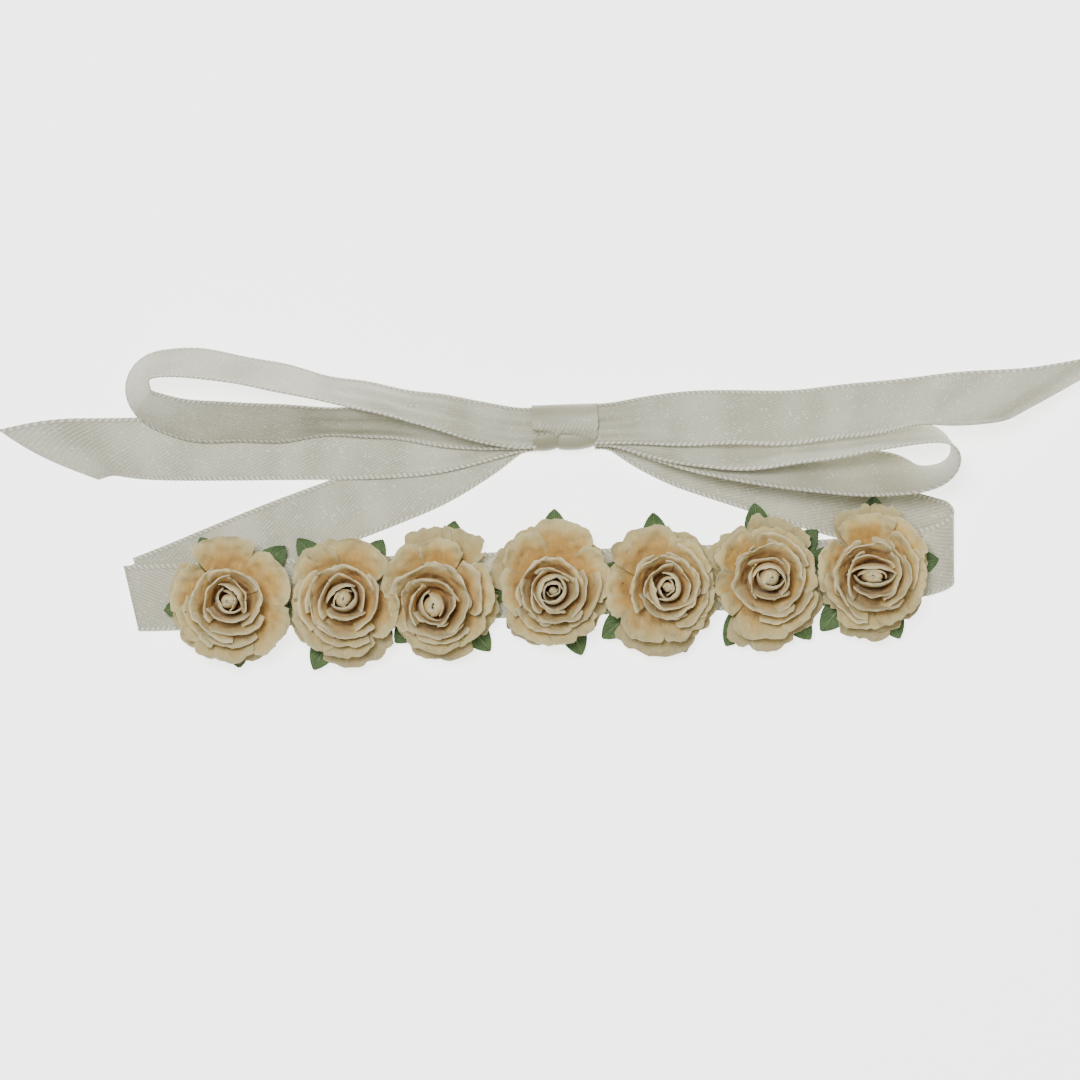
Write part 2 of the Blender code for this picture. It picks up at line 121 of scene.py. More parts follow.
def rounded_path(points, steps):
    """Catmull-Rom curve through points, with steps in each span."""
    points = np.array(points, float)
    padded = np.vstack([2.0 * points[0] - points[1], points, 2.0 * points[-1] - points[-2]])
    t = (np.arange(steps) / steps)[:, None]
    pieces = []
    for a, b, c, d in zip(padded, padded[1:], padded[2:], padded[3:]):
        pieces.append(0.5 * (2.0 * b + (c - a) * t + (2.0 * a - 5.0 * b + 4.0 * c - d) * t ** 2
                             + (3.0 * b - a - 3.0 * c + d) * t ** 3))
    return np.vstack(pieces + [points[-1:]])


def even_out(values, reach):
    """Gaussian smoothing along the rows that leaves both ends where they are."""
    count = max(int(3.0 * reach), 1)
    weights = np.exp(-0.5 * (np.arange(-count, count + 1) / reach) ** 2)
    weights /= weights.sum()
    head = 2.0 * values[0] - values[1:count + 1][::-1]
    tail = 2.0 * values[-1] - values[-count - 1:-1][::-1]
    padded = np.vstack([head, values, tail])
    return np.stack([np.convolve(padded[:, k], weights, "valid") for k in range(values.shape[1])], axis=1)


def unit(vectors):
    return vectors / np.maximum(np.linalg.norm(vectors, axis=-1, keepdims=True), 1e-9)


def lengths_along(path):
    """How far each point of a path lies from the first, measured along it."""
    return np.concatenate([[0.0], np.cumsum(np.linalg.norm(np.diff(path, axis=0), axis=1))])


def spaced_edges(low, high, count):
    """Both edges of a ribbon again, in a number of equal steps along its middle."""
    along = lengths_along(0.5 * (low + high))
    stops = np.linspace(0.0, along[-1], count + 1)
    return [np.stack([np.interp(stops, along, row) for row in edge.T], axis=1) for edge in (low, high)]


def even_edges(low, high):
    """Both edges of a ribbon again, with rows about STEP apart and its bends evened out."""
    length = lengths_along(0.5 * (low + high))[-1]
    low, high = spaced_edges(low, high, max(int(round(length / STEP)), 4))
    return even_out(low, SOFTEN / STEP), even_out(high, SOFTEN / STEP)


def ribbon_edges(stations, cut=0.0):
    """Both edges of a ribbon through stations of (x, y, rim, lean, share), in millimetres and degrees.

    rim is the height of its lower edge. lean is how far the edge on the right of the way along
    rises out of level. share is how much of the full width is left where the ribbon is gathered,
    and 1 where it isn't given.
    cut is how much further the right-hand edge runs than the left-hand one at the far end.
    """
    path = smooth_path([(*station, 1.0)[:5] for station in stations], 24)
    ahead = np.gradient(path[:, :2], axis=0)
    ahead = unit(np.hstack([ahead, np.zeros((len(path), 1))]))
    right = np.stack([ahead[:, 1], -ahead[:, 0], np.zeros(len(path))], axis=1)
    lean = np.radians(path[:, 3:4])
    across = np.cos(lean) * right + np.sin(lean) * np.array([0.0, 0.0, 1.0])
    half = 0.5 * RIBBON_WIDTH * path[:, 4:5] * across
    centre = path[:, :3].copy()
    centre[:, 2] += np.abs(half[:, 2])
    low, high = even_edges(centre - half, centre + half)
    if cut:
        rows = int(2.2 * abs(cut) / STEP)
        share = (np.arange(rows) / (rows - 1))[:, None] ** 2
        forward = unit((low[-1] + high[-1]) - (low[-rows // 4] + high[-rows // 4]))
        low[-rows:] -= 0.5 * cut * share * forward
        high[-rows:] += 0.5 * cut * share * forward
    return low, high


# ---- meshes

def show(name, data):
    """An object in the scene for a mesh, a light or a camera."""
    obj = bpy.data.objects.new(name, data)
    bpy.context.scene.collection.objects.link(obj)
    return obj


def make_mesh(name, vertices, faces, material, uvs=None, tones=None):
    """An object from points in millimetres, smooth shaded, with one UV pair and one tone for each point."""
    mesh = bpy.data.meshes.new(name)
    mesh.from_pydata([tuple(p) for p in np.asarray(vertices) * MM], [], faces)
    mesh.update()
    corners = np.zeros(len(mesh.loops), np.int32)
    mesh.loops.foreach_get("vertex_index", corners)
    if uvs is not None:
        layer = mesh.uv_layers.new(name="surface")
        layer.data.foreach_set("uv", np.asarray(uvs, np.float32)[corners].ravel())
    if tones is not None:
        tone = mesh.attributes.new("tone", "FLOAT", "POINT")
        tone.data.foreach_set("value", np.asarray(tones, np.float32))
    mesh.shade_smooth()
    mesh.set_sharp_from_angle(angle=math.radians(55.0))
    mesh.materials.append(material)
    return show(name, mesh)


def grid_normals(grid):
    """The unit normal at each point of a grid of points."""
    down = np.gradient(grid, axis=0)
    across = np.gradient(grid, axis=1)
    return unit(np.cross(down, across))


def slab(grid, thickness, wrap=False):
    """Points and faces of a closed sheet round a grid of points. wrap joins its last row to its first."""
    rows, columns = grid.shape[:2]
    if wrap:
        padded = np.concatenate([grid[-1:], grid, grid[:1]])
        normals = grid_normals(padded)[1:-1]
    else:
        normals = grid_normals(grid)
    offset = 0.5 * np.asarray(thickness)[..., None] * normals
    points = np.concatenate([(grid + offset).reshape(-1, 3), (grid - offset).reshape(-1, 3)])
    below = rows * columns
    side = columns - 1
    faces = []
    for i in range(rows if wrap else rows - 1):
        near, far = i * columns, (i + 1) % rows * columns
        for j in range(side):
            faces.append((near + j, far + j, far + j + 1, near + j + 1))
            faces.append((below + near + j, below + near + j + 1, below + far + j + 1, below + far + j))
        faces.append((near, below + near, below + far, far))
        faces.append((near + side, far + side, below + far + side, below + near + side))
    if not wrap:
        end = (rows - 1) * columns
        for j in range(side):
            faces.append((j, j + 1, below + j + 1, below + j))
            faces.append((end + j, below + end + j, below + end + j + 1, end + j + 1))
    return points, faces


class Bundle:
    """Gathers sheets of ribbon or paper that make one mesh."""

    def __init__(self):
        self.points, self.faces, self.uvs, self.tones = [], [], [], []
        self.count = 0

    def add(self, grid, thickness, uv, tones=None, wrap=False):
        """Adds a closed sheet round a grid, with a UV pair for each of its points and a tone or tones."""
        points, faces = slab(grid, thickness, wrap)
        self.points.append(points)
        self.faces += [tuple(self.count + k for k in face) for face in faces]
        self.count += len(points)
        self.uvs += [uv.reshape(-1, 2)] * 2
        if tones is not None:
            self.tones += [np.broadcast_to(tones, grid.shape[:2]).ravel()] * 2

    def mesh(self, name, material):
        uvs = np.concatenate(self.uvs)
        tones = np.concatenate(self.tones) if self.tones else None
        return make_mesh(name, np.concatenate(self.points), self.faces, material, uvs, tones)


def uv_grid(along, across):
    """UV pairs for a grid whose rows lie at along and whose columns lie at across."""
    return np.stack(np.broadcast_arrays(along[:, None], across[None, :]), axis=-1)


def ribbon_columns():
    """Places across the ribbon from 0 to 1, close together in the two selvedges."""
    rim = [0.0, 0.012, 0.026, 0.042, 0.060, 0.085]
    between = 1.0 - 2.0 * rim[-1]
    middle = [rim[-1] + between * k / 12 for k in range(1, 12)]
    return np.array(rim + middle + [1.0 - v for v in reversed(rim)])


def ribbon_sheet(name, low, high, material, ripple=0.2, seed=0, bulge=0.0):
    """A woven ribbon between two edges, with its selvedge stitches, ripples, and pleats where it is narrow.

    bulge is how far the middle of the cut at its far end stands out.
    """
    across = ribbon_columns()
    span = high - low
    width = np.linalg.norm(span, axis=1)
    middle = 0.5 * (low + high)
    along = lengths_along(middle)
    grid = low[:, None, :] + across[None, :, None] * span[:, None, :]
    if bulge:
        share = np.clip((along - along[-1]) / (4.0 * bulge) + 1.0, 0.0, 1.0)
        ahead = unit(middle[-1] - middle[-8])
        grid += (bulge * share[:, None] * np.sin(math.pi * across)[None, :])[:, :, None] * ahead
    normals = grid_normals(grid)

    rng = random.Random(seed)
    waves = [(rng.uniform(17.0, 34.0), rng.uniform(0.0, 6.28), rng.uniform(-0.6, 0.6)) for _ in range(3)]
    lift = np.zeros(grid.shape[:2])
    for length, phase, slant in waves:
        turns = 2.0 * math.pi * along[:, None] / length + phase + slant * 6.0 * across[None, :]
        lift += ripple / len(waves) * np.sin(turns)
    lift *= np.clip(np.minimum(along, along[-1] - along) / RIPPLE_FADE, 0.0, 1.0)[:, None]
    surplus = np.clip(1.0 - width / RIBBON_WIDTH, 0.0, 0.45)[:, None] / (1.0 - GATHER)
    fold = np.sin(2.0 * math.pi * PLEATS * across[None, :])
    lift += PLEAT_HIGH * surplus * fold
    grid = grid + lift[:, :, None] * normals

    edge = np.minimum(across, 1.0 - across) * RIBBON_WIDTH
    selvedge = np.clip(1.0 - edge / STITCH_WIDE, 0.0, 1.0)
    stitch = 0.5 + 0.5 * np.sin(2.0 * math.pi * (along[:, None] + 0.5 * edge[None, :]) / STITCH_PITCH)
    thick = RIBBON_THICK * (1.0 + 0.7 * np.sin(math.pi * selvedge)[None, :] * (0.4 + 0.6 * stitch))
    side = np.where(across < 0.5, -1.0, 1.0)
    outward = unit(span)[:, None, :] * (side * (selvedge > 0.7))[None, :, None]
    grid = grid + STITCH_OUT * stitch[:, :, None] * outward

    bundle = Bundle()
    bundle.add(grid, thick, uv_grid(along, across * RIBBON_WIDTH) * MM)
    return bundle.mesh(name, material), along[-1]


# ---- materials

class Graph:
    """Adds the nodes of one material and joins them."""

    def __init__(self, name):
        self.material = bpy.data.materials.new(name)
        self.material.use_nodes = True
        self.tree = self.material.node_tree
        self.shader = self.tree.nodes["Principled BSDF"]

    def put(self, socket, value):
        if isinstance(value, bpy.types.NodeSocket):
            self.tree.links.new(value, socket)
        else:
            socket.default_value = value

    def node(self, kind, inputs=None, **settings):
        made = self.tree.nodes.new(kind)
        for key, value in settings.items():
            setattr(made, key, value)
        for key, value in (inputs or {}).items():
            self.put(made.inputs[key], value)
        return made

    def math(self, operation, a, b=0.0, c=0.0):
        made = self.node("ShaderNodeMath", operation=operation)
        for socket, value in zip(made.inputs, (a, b, c)):
            self.put(socket, value)
        return made.outputs[0]

    def plus(self, a, b):
        return self.math("ADD", a, b)

    def times(self, a, b):
        return self.math("MULTIPLY", a, b)

    def scaled(self, value, factor, offset):
        return self.math("MULTIPLY_ADD", value, factor, offset)

    def wave(self, value, pitch):
        """From 0 to 1 and back once in each pitch of value."""
        return self.scaled(self.math("SINE", self.times(value, 2.0 * math.pi / pitch)), 0.5, 0.5)

    def step(self, value, start, end):
        """From 0 at start to 1 at end."""
        made = self.node("ShaderNodeMapRange", {"Value": value, "From Min": start, "From Max": end},
                         interpolation_type="SMOOTHSTEP")
        return made.outputs["Result"]

    def noise(self, place, scale, detail=3.0, rough=0.5):
        made = self.node("ShaderNodeTexNoise", {"Vector": place, "Scale": scale, "Detail": detail,
                                                "Roughness": rough})
        return made.outputs["Fac"]

    def stretch(self, place, scale):
        made = self.node("ShaderNodeMapping", {"Vector": place, "Scale": scale})
        return made.outputs["Vector"]

    def mix(self, share, a, b):
        made = self.node("ShaderNodeMix", data_type="RGBA")
        self.put(made.inputs[0], share)
        self.put(made.inputs[6], a)
        self.put(made.inputs[7], b)
        return made.outputs[2]

    def ramp(self, value, stops):
        made = self.node("ShaderNodeValToRGB", {"Fac": value})
        elements = made.color_ramp.elements
        while len(elements) < len(stops):
            elements.new(0.5)
        for element, (place, color) in zip(elements, stops):
            element.position = place
            element.color = color
        return made.outputs["Color"]

    def bump(self, height, distance, strength=1.0, below=None):
        made = self.node("ShaderNodeBump", {"Height": height, "Distance": distance, "Strength": strength})
        if below is not None:
            self.put(made.inputs["Normal"], below)
        return made.outputs["Normal"]

    def split(self, vector):
        """X, Y and Z of a vector."""
        return tuple(self.node("ShaderNodeSeparateXYZ", {"Vector": vector}).outputs)

    def cells(self, place, scale, **settings):
        """The distance from the middle of a scattered cell, and a chance from 0 to 1 for each cell."""
        made = self.node("ShaderNodeTexVoronoi", {"Vector": place, "Scale": scale}, **settings)
        chance = self.node("ShaderNodeTexWhiteNoise", {"Vector": made.outputs["Position"]},
                           noise_dimensions="3D")
        return made.outputs["Distance"], chance.outputs["Value"]

    def tone(self):
        return self.node("ShaderNodeAttribute", attribute_name="tone").outputs["Fac"]

    def tint(self, color, share, most, towards):
        """A colour mixed towards another, by most where the share is 1."""
        return self.mix(self.times(share, most), color, rgb(*towards))

    def coordinates(self):
        return self.node("ShaderNodeTexCoord").outputs["Object"]

    def uv(self):
        made = self.node("ShaderNodeUVMap", uv_map="surface")
        return made.outputs["UV"]

    def finish(self, **sockets):
        for key, value in sockets.items():
            self.put(self.shader.inputs[key.replace("_", " ")], value)
        return self.material


def rgb(red, green, blue):
    return (red, green, blue, 1.0)


def satin_material():
    """Ivory satin ribbon: diagonal weave with bright points, painted glints, stitched selvedges, soft
    changes of tone and painted highlight bands.

    A tone from 0 to 1 takes the weave and the painted glints away, and from 1 on it darkens the ribbon with
    painted shade.
    """
    g = Graph("ivory_satin")
    uv = g.uv()
    along, across, _ = g.split(uv)
    wobble = g.scaled(g.noise(uv, 140.0), 0.5 * MM, -0.25 * MM)
    slanted = g.plus(g.scaled(along, 0.5, across), wobble)
    down = g.scaled(across, -0.5, along)
    lines = g.wave(slanted, TWILL_PITCH * MM)
    points = g.wave(down, POINT_PITCH * MM)
    tone = g.tone()
    woven = g.math("SUBTRACT", 1.0, g.math("MINIMUM", tone, 1.0))
    tuck_shade = g.math("MAXIMUM", g.math("SUBTRACT", tone, 1.0), 0.0)
    weave = g.times(lines, g.scaled(points, 0.75, 0.25))
    weave = g.times(weave, woven)
    threads = g.noise(g.stretch(uv, (900.0, 5200.0, 1.0)), 1.0, 2.0)

    # Painted glints: scattered near-white points mixed into the colour, standing in for light glinting off
    # the satin.
    distance, chance = g.cells(uv, scale=1300.0, voronoi_dimensions="2D")
    glint_patches = g.step(g.noise(uv, 210.0, 3.0), 0.38, 0.66)
    glint_points = g.times(g.step(chance, 0.60, 0.90), g.step(distance, 0.46, 0.12))
    glint_points = g.times(glint_points, g.scaled(glint_patches, 0.75, 0.25))
    glint_points = g.times(glint_points, woven)

    middle = 0.5 * RIBBON_WIDTH * MM
    reach = g.math("ABSOLUTE", g.math("SUBTRACT", across, middle))
    selvedge = g.step(reach, middle - 1.05 * MM, middle - 0.75 * MM)
    slope = g.scaled(reach, 0.7, along)
    loops = g.wave(slope, STITCH_PITCH * MM)
    # Painted shade: a darker line just inside each selvedge, as in a groove.
    groove_shade = g.step(reach, middle - 1.25 * MM, middle - 1.05 * MM)
    groove_shade = g.times(groove_shade, g.math("SUBTRACT", 1.0, selvedge))

    patch = g.step(g.noise(uv, 75.0, 2.0), 0.35, 0.65)
    body = g.mix(patch, rgb(0.345, 0.338, 0.228), rgb(0.45, 0.442, 0.320))
    # Painted highlight: soft bright bands across the ribbon, mixed into its colour.
    highlight_bands = g.step(g.noise(g.stretch(uv, (64.0, 16.0, 1.0)), 1.0, 1.0), 0.42, 0.66)
    body = g.tint(body, highlight_bands, 0.55, (0.62, 0.615, 0.49))
    lined = g.tint(body, weave, 0.52, (0.80, 0.79, 0.65))
    lined = g.tint(lined, threads, 0.30, (0.34, 0.335, 0.225))
    glinted = g.tint(lined, glint_points, 0.50, (0.95, 0.95, 0.88))
    stitched = g.mix(loops, rgb(0.39, 0.385, 0.275), rgb(0.72, 0.71, 0.59))
    color = g.mix(selvedge, glinted, stitched)
    color = g.tint(color, groove_shade, 0.18, (0.25, 0.25, 0.165))
    # Painted shade: a tone above 1 darkens the colour, as in the recesses of the tucks under the knot.
    color = g.mix(tuck_shade, color, rgb(0.23, 0.22, 0.13))

    height = g.plus(g.times(weave, 0.5), g.times(glint_points, 0.5))
    height = g.plus(height, g.times(threads, 0.3))
    height = g.plus(height, g.times(g.times(loops, selvedge), 1.3))
    swell = g.noise(g.stretch(uv, (62.0, 26.0, 1.0)), 1.0, 1.0)
    normal = g.bump(swell, 2.2 * MM, 1.0)
    normal = g.bump(height, 0.10 * MM, 0.9, normal)
    rough = g.scaled(weave, -0.10, 0.42)
    rough = g.scaled(selvedge, 0.12, rough)
    tangent = g.node("ShaderNodeTangent", direction_type="UV_MAP", uv_map="surface").outputs["Tangent"]
    return g.finish(Base_Color=color, Roughness=rough, Normal=normal, Tangent=tangent,
                    Anisotropic=0.55, Anisotropic_Rotation=0.25, Sheen_Weight=0.03,
                    Sheen_Roughness=0.35, Specular_IOR_Level=0.30)


def paper_material(name, shade, rim):
    """Mulberry paper: deep peach towards each petal's foot, partly its own colour and partly painted shade
    in the folds, cream towards the rim, fibres, veins and a few specks.
    """
    g = Graph(name)
    place = g.coordinates()
    side, length, _ = g.split(g.uv())
    tone = g.tone()
    cloud = g.noise(place, 260.0, 4.0, 0.6)
    fibres = g.noise(g.stretch(place, (1300.0, 500.0, 500.0)), 1.0, 5.0, 0.7)
    shifted = g.plus(length, g.scaled(cloud, 0.36, -0.18))
    # Darker, deeper peach towards the petal's foot: partly the paper's colour, partly painted shade in the
    # folds.
    color = g.ramp(shifted, [
        (0.00, rgb(0.43, 0.185, 0.030)), (0.50, rgb(0.58, 0.345, 0.080)),
        (0.72, shade), (0.97, rim)])
    # The tone darkens a petal: partly at random, and partly as painted shade on the lowest ring and on
    # petals facing -Y.
    color = g.tint(color, tone, 0.70, (0.32, 0.280, 0.150))
    color = g.tint(color, g.step(cloud, 0.52, 0.74), 0.22, (0.60, 0.385, 0.14))
    color = g.tint(color, g.step(fibres, 0.5, 0.72), 0.22, (0.82, 0.73, 0.50))
    distance, chance = g.cells(place, scale=420.0)
    speck = g.times(g.step(chance, 0.985, 0.99), g.step(distance, 0.16, 0.08))
    color = g.tint(color, speck, 0.8, (0.09, 0.05, 0.03))
    veins = g.wave(g.plus(side, g.times(cloud, 0.12)), 0.16)
    height = g.plus(g.times(cloud, 0.9), g.times(fibres, 0.55))
    height = g.plus(height, g.times(g.times(veins, length), 0.28))
    facets = g.node("ShaderNodeTexVoronoi", {"Vector": place, "Scale": 380.0}, feature="SMOOTH_F1")
    normal = g.bump(facets.outputs["Distance"], 1.0 * MM, 0.9)
    normal = g.bump(height, 0.34 * MM, 0.9, normal)
    return g.finish(Base_Color=color, Roughness=g.scaled(fibres, 0.12, 0.80), Normal=normal,
                    Sheen_Weight=0.08, Sheen_Roughness=0.6, Specular_IOR_Level=0.2, Subsurface_Weight=0.05,
                    Subsurface_Scale=0.6 * MM)


def leaf_material():
    """Dyed green paper with a paler rib and side veins."""
    g = Graph("leaf_paper")
    place = g.coordinates()
    side, length, _ = g.split(g.uv())
    cloud = g.noise(place, 420.0, 4.0, 0.6)
    fibres = g.noise(g.stretch(place, (700.0, 1500.0, 700.0)), 1.0, 4.0, 0.7)
    off = g.math("ABSOLUTE", side)
    rib = g.step(off, 0.10, 0.02)
    branches = g.wave(g.scaled(off, -0.35, length), 0.11)
    color = g.mix(g.step(cloud, 0.3, 0.7), rgb(0.032, 0.072, 0.018), rgb(0.075, 0.130, 0.044))
    color = g.tint(color, branches, 0.25, (0.13, 0.20, 0.08))
    color = g.tint(color, rib, 0.55, (0.20, 0.27, 0.13))
    color = g.tint(color, g.step(fibres, 0.55, 0.8), 0.35, (0.22, 0.29, 0.16))
    height = g.plus(g.plus(rib, g.times(branches, 0.4)), g.times(fibres, 0.7))
    return g.finish(Base_Color=color, Roughness=g.scaled(cloud, 0.25, 0.58),
                    Normal=g.bump(height, 0.14 * MM, 0.8), Specular_IOR_Level=0.35)


def wire_material():
    """Florist's wire wrapped in green paper tape."""
    g = Graph("wrapped_wire")
    place = g.coordinates()
    x, _, z = g.split(place)
    turns = g.wave(g.scaled(x, 0.5, z), 0.9 * MM)
    crease = g.noise(place, 1500.0, 3.0)
    color = g.mix(turns, rgb(0.055, 0.10, 0.035), rgb(0.13, 0.20, 0.09))
    color = g.tint(color, crease, 0.4, (0.20, 0.26, 0.15))
    return g.finish(Base_Color=color, Roughness=g.scaled(crease, 0.2, 0.6),
                    Normal=g.bump(g.plus(turns, crease), 0.12 * MM, 0.7))


def glue_material():
    """A set bead of clear hot glue, a little cloudy and not quite even."""
    g = Graph("clear_glue")
    place = g.coordinates()
    cloud = g.noise(place, 520.0, 4.0)
    color = g.mix(cloud, rgb(0.62, 0.60, 0.52), rgb(0.80, 0.79, 0.72))
    return g.finish(Base_Color=color, Roughness=g.scaled(cloud, 0.25, 0.16),
                    Normal=g.bump(g.noise(place, 330.0, 2.0), 0.25 * MM, 0.8), Transmission_Weight=0.35)


SATIN = satin_material()
OUTER_PAPER = paper_material("petal_paper", rgb(0.60, 0.480, 0.200), rgb(0.62, 0.540, 0.280))
INNER_PAPER = paper_material("pale_petal_paper", rgb(0.61, 0.465, 0.185), rgb(0.75, 0.655, 0.395))
BUD_PAPER = paper_material("bud_paper", rgb(0.62, 0.465, 0.190), rgb(0.72, 0.620, 0.360))
LEAF = leaf_material()
WIRE = wire_material()


# ---- ribbon
# A station of a ribbon is (x, y, rim, lean, share), which ribbon_edges explains.

def deck(layers):
    """Height of the middle of a ribbon that lies flat on that many others."""
    return DECK_LOW + DECK_STEP * layers


def layer(number):
    """Height of the numbered layer, counted from 0 at the bottom, where it enters the knot."""
    return LAYER_LOW + number * LAYER_STEP


def entry(side, number, shift=0.0, lean=0.0):
    """Stations of the numbered layer at the knot's left (-1) or right (+1) face, innermost first."""
    face = KNOT_LOW.x if side < 0 else KNOT_HIGH.x
    y = KNOT_MIDDLE.y + shift
    return [(face - side * INSIDE, y, layer(number), lean, GATHER),
            (face + side * 0.3, y, layer(number), lean, GATHER),
            (face + side * LEAD_IN, y, layer(number), lean, GATHER)]


def stand_for(obj, node):
    """Lets an object take the place of a CAD node on the crown's own body."""
    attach(obj, "crown")
    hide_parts(node)


def place_ribbon(name, low, high, body, held="laid", between=None, **look):
    """Makes one length of ribbon, which stands for the CAD node of the same name.

    It rides on a body, or, where between is given, is left in place on no body.
    """
    obj, length = ribbon_sheet(name + "_ribbon", low, high, SATIN, **look)
    if between:
        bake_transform(obj)
    else:
        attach(obj, body)
    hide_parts(name)


def front_band():
    """The level ribbon under the roses, folded back flat at its left end and turned openly at its right.

    Its bends aren't evened out, so that the tight fold stays tight.
    """
    low = [(-89.6, -6.8, 0.30), (-91.2, -7.5, 0.30), (-91.9, -7.5, 0.80), (-91.2, -7.6, 1.35),
           (-84, -7.7, 1.25), (-60, -7.5, 1.1), (-38, -7.5, 1.1), (-28, -7.5, 0.30), (0, -7.5, 0.25),
           (30, -7.5, 0.25),
           (55, -7.5, 0.30), (64, -7.4, 1.1), (76, -7.0, 1.2), (83, -6.5, 1.4), (88.6, -5.7, 1.8),
           (92.6, -4.5, 2.1), (94.4, -3.0, 1.6), (93.0, -1.0, 0.6), (89.0, 1.1, 0.35), (77.7, 4.9, 0.25)]
    high = [(-92.4, 7.9, 0.30), (-94.0, 7.3, 0.30), (-94.8, 7.3, 0.95), (-94.0, 7.4, 1.55),
            (-86, 7.4, 1.25), (-60, 7.5, 1.1), (-38, 7.5, 1.1), (-28, 7.5, 0.30), (0, 7.5, 0.25),
            (30, 7.5, 0.25),
            (55, 7.6, 0.30), (64, 7.8, 1.1), (76, 8.2, 1.6), (83, 8.9, 2.4), (88.8, 9.8, 3.4),
            (92.8, 11.4, 4.0), (94.7, 13.3, 3.4), (93.6, 15.4, 2.0), (90.6, 16.6, 1.2), (82.3, 19.2, 0.25)]
    low, high = (rounded_path(edge, 20) for edge in (low, high))
    length = lengths_along(0.5 * (low + high))[-1]
    low, high = spaced_edges(low, high, int(length / STEP))
    place_ribbon("front_band", low, high, "crown", ripple=0.0)


def straps():
    """The two runs of ribbon that close the ring behind the roses."""
    flat = deck(0)
    left = [
        (-90.5, 2.0, flat, 0), (-82.0, 5.0, flat, 0), (-72.0, 8.8, flat, 0),
        (-58.0, 13.9, flat, 0), (-42.0, 19.2, flat, 0), (-26.5, 24.8, flat, 0),
        (-12.6, 30.6, flat + 0.6, 0, 0.8),
    ] + list(reversed(entry(-1, 0, shift=-0.6)))
    right = [
        (79.95, 12.05, flat, 0), (76.0, 13.35, flat, 0),
        (64.0, 17.4, flat, 0), (50.0, 22.3, flat, 0), (36.0, 27.4, flat, 0),
        (25.0, 31.4, flat + 0.6, 0, 0.8),
    ] + list(reversed(entry(1, 0, shift=-0.6)))
    for name, stations, seed in (("left_strap", left, 3), ("right_strap", right, 4)):
        low, high = ribbon_edges(stations)
        place_ribbon(name, low, high, "crown", ripple=0.25, seed=seed)


def tails():
    """The two free ends. The left one lies on the table, the right one leans on the right loop."""
    left = entry(-1, 1, shift=-0.6) + [
        (-13.5, 33.4, deck(1) + 1.0, 0, 0.73), (-26.0, 32.4, deck(1) + 0.2, 0, 0.9),
        (-44.0, 32.9, deck(1), 0), (-58.0, 33.3, deck(0) + 0.3, 0), (-70.0, 33.6, deck(0), 0),
        (-92.0, 34.1, deck(0), 0), (-103.0, 34.9, deck(0), 0), (-111.5, 33.4, deck(0), 0),
    ]
    low, high = ribbon_edges(left, cut=20.0)
    bend = hinge("crown", "left_tail", -1)
    place_ribbon("left_tail", low, high, None, between=bend, ripple=0.35, seed=5, bulge=1.6)
    right = entry(1, 3, shift=0.4) + [
        (26.5, 36.4, 5.0, 14, 0.77), (37.6, 36.4, 3.2, 26, 0.93), (56.7, 36.0, 1.1, 34),
        (71.8, 36.8, 1.2, 36), (84.0, 38.2, 1.6, 42), (95.0, 39.0, 1.4, 46),
        (104.0, 39.0, 1.2, 46), (113.0, 39.6, 1.0, 44), (122.0, 41.4, 1.0, 42),
    ]
    low, high = ribbon_edges(right, cut=-32.0)
    bend = hinge("right_loop", "right_tail", 1)
    place_ribbon("right_tail", low, high, None, between=bend, ripple=0.5, seed=6, bulge=1.4)


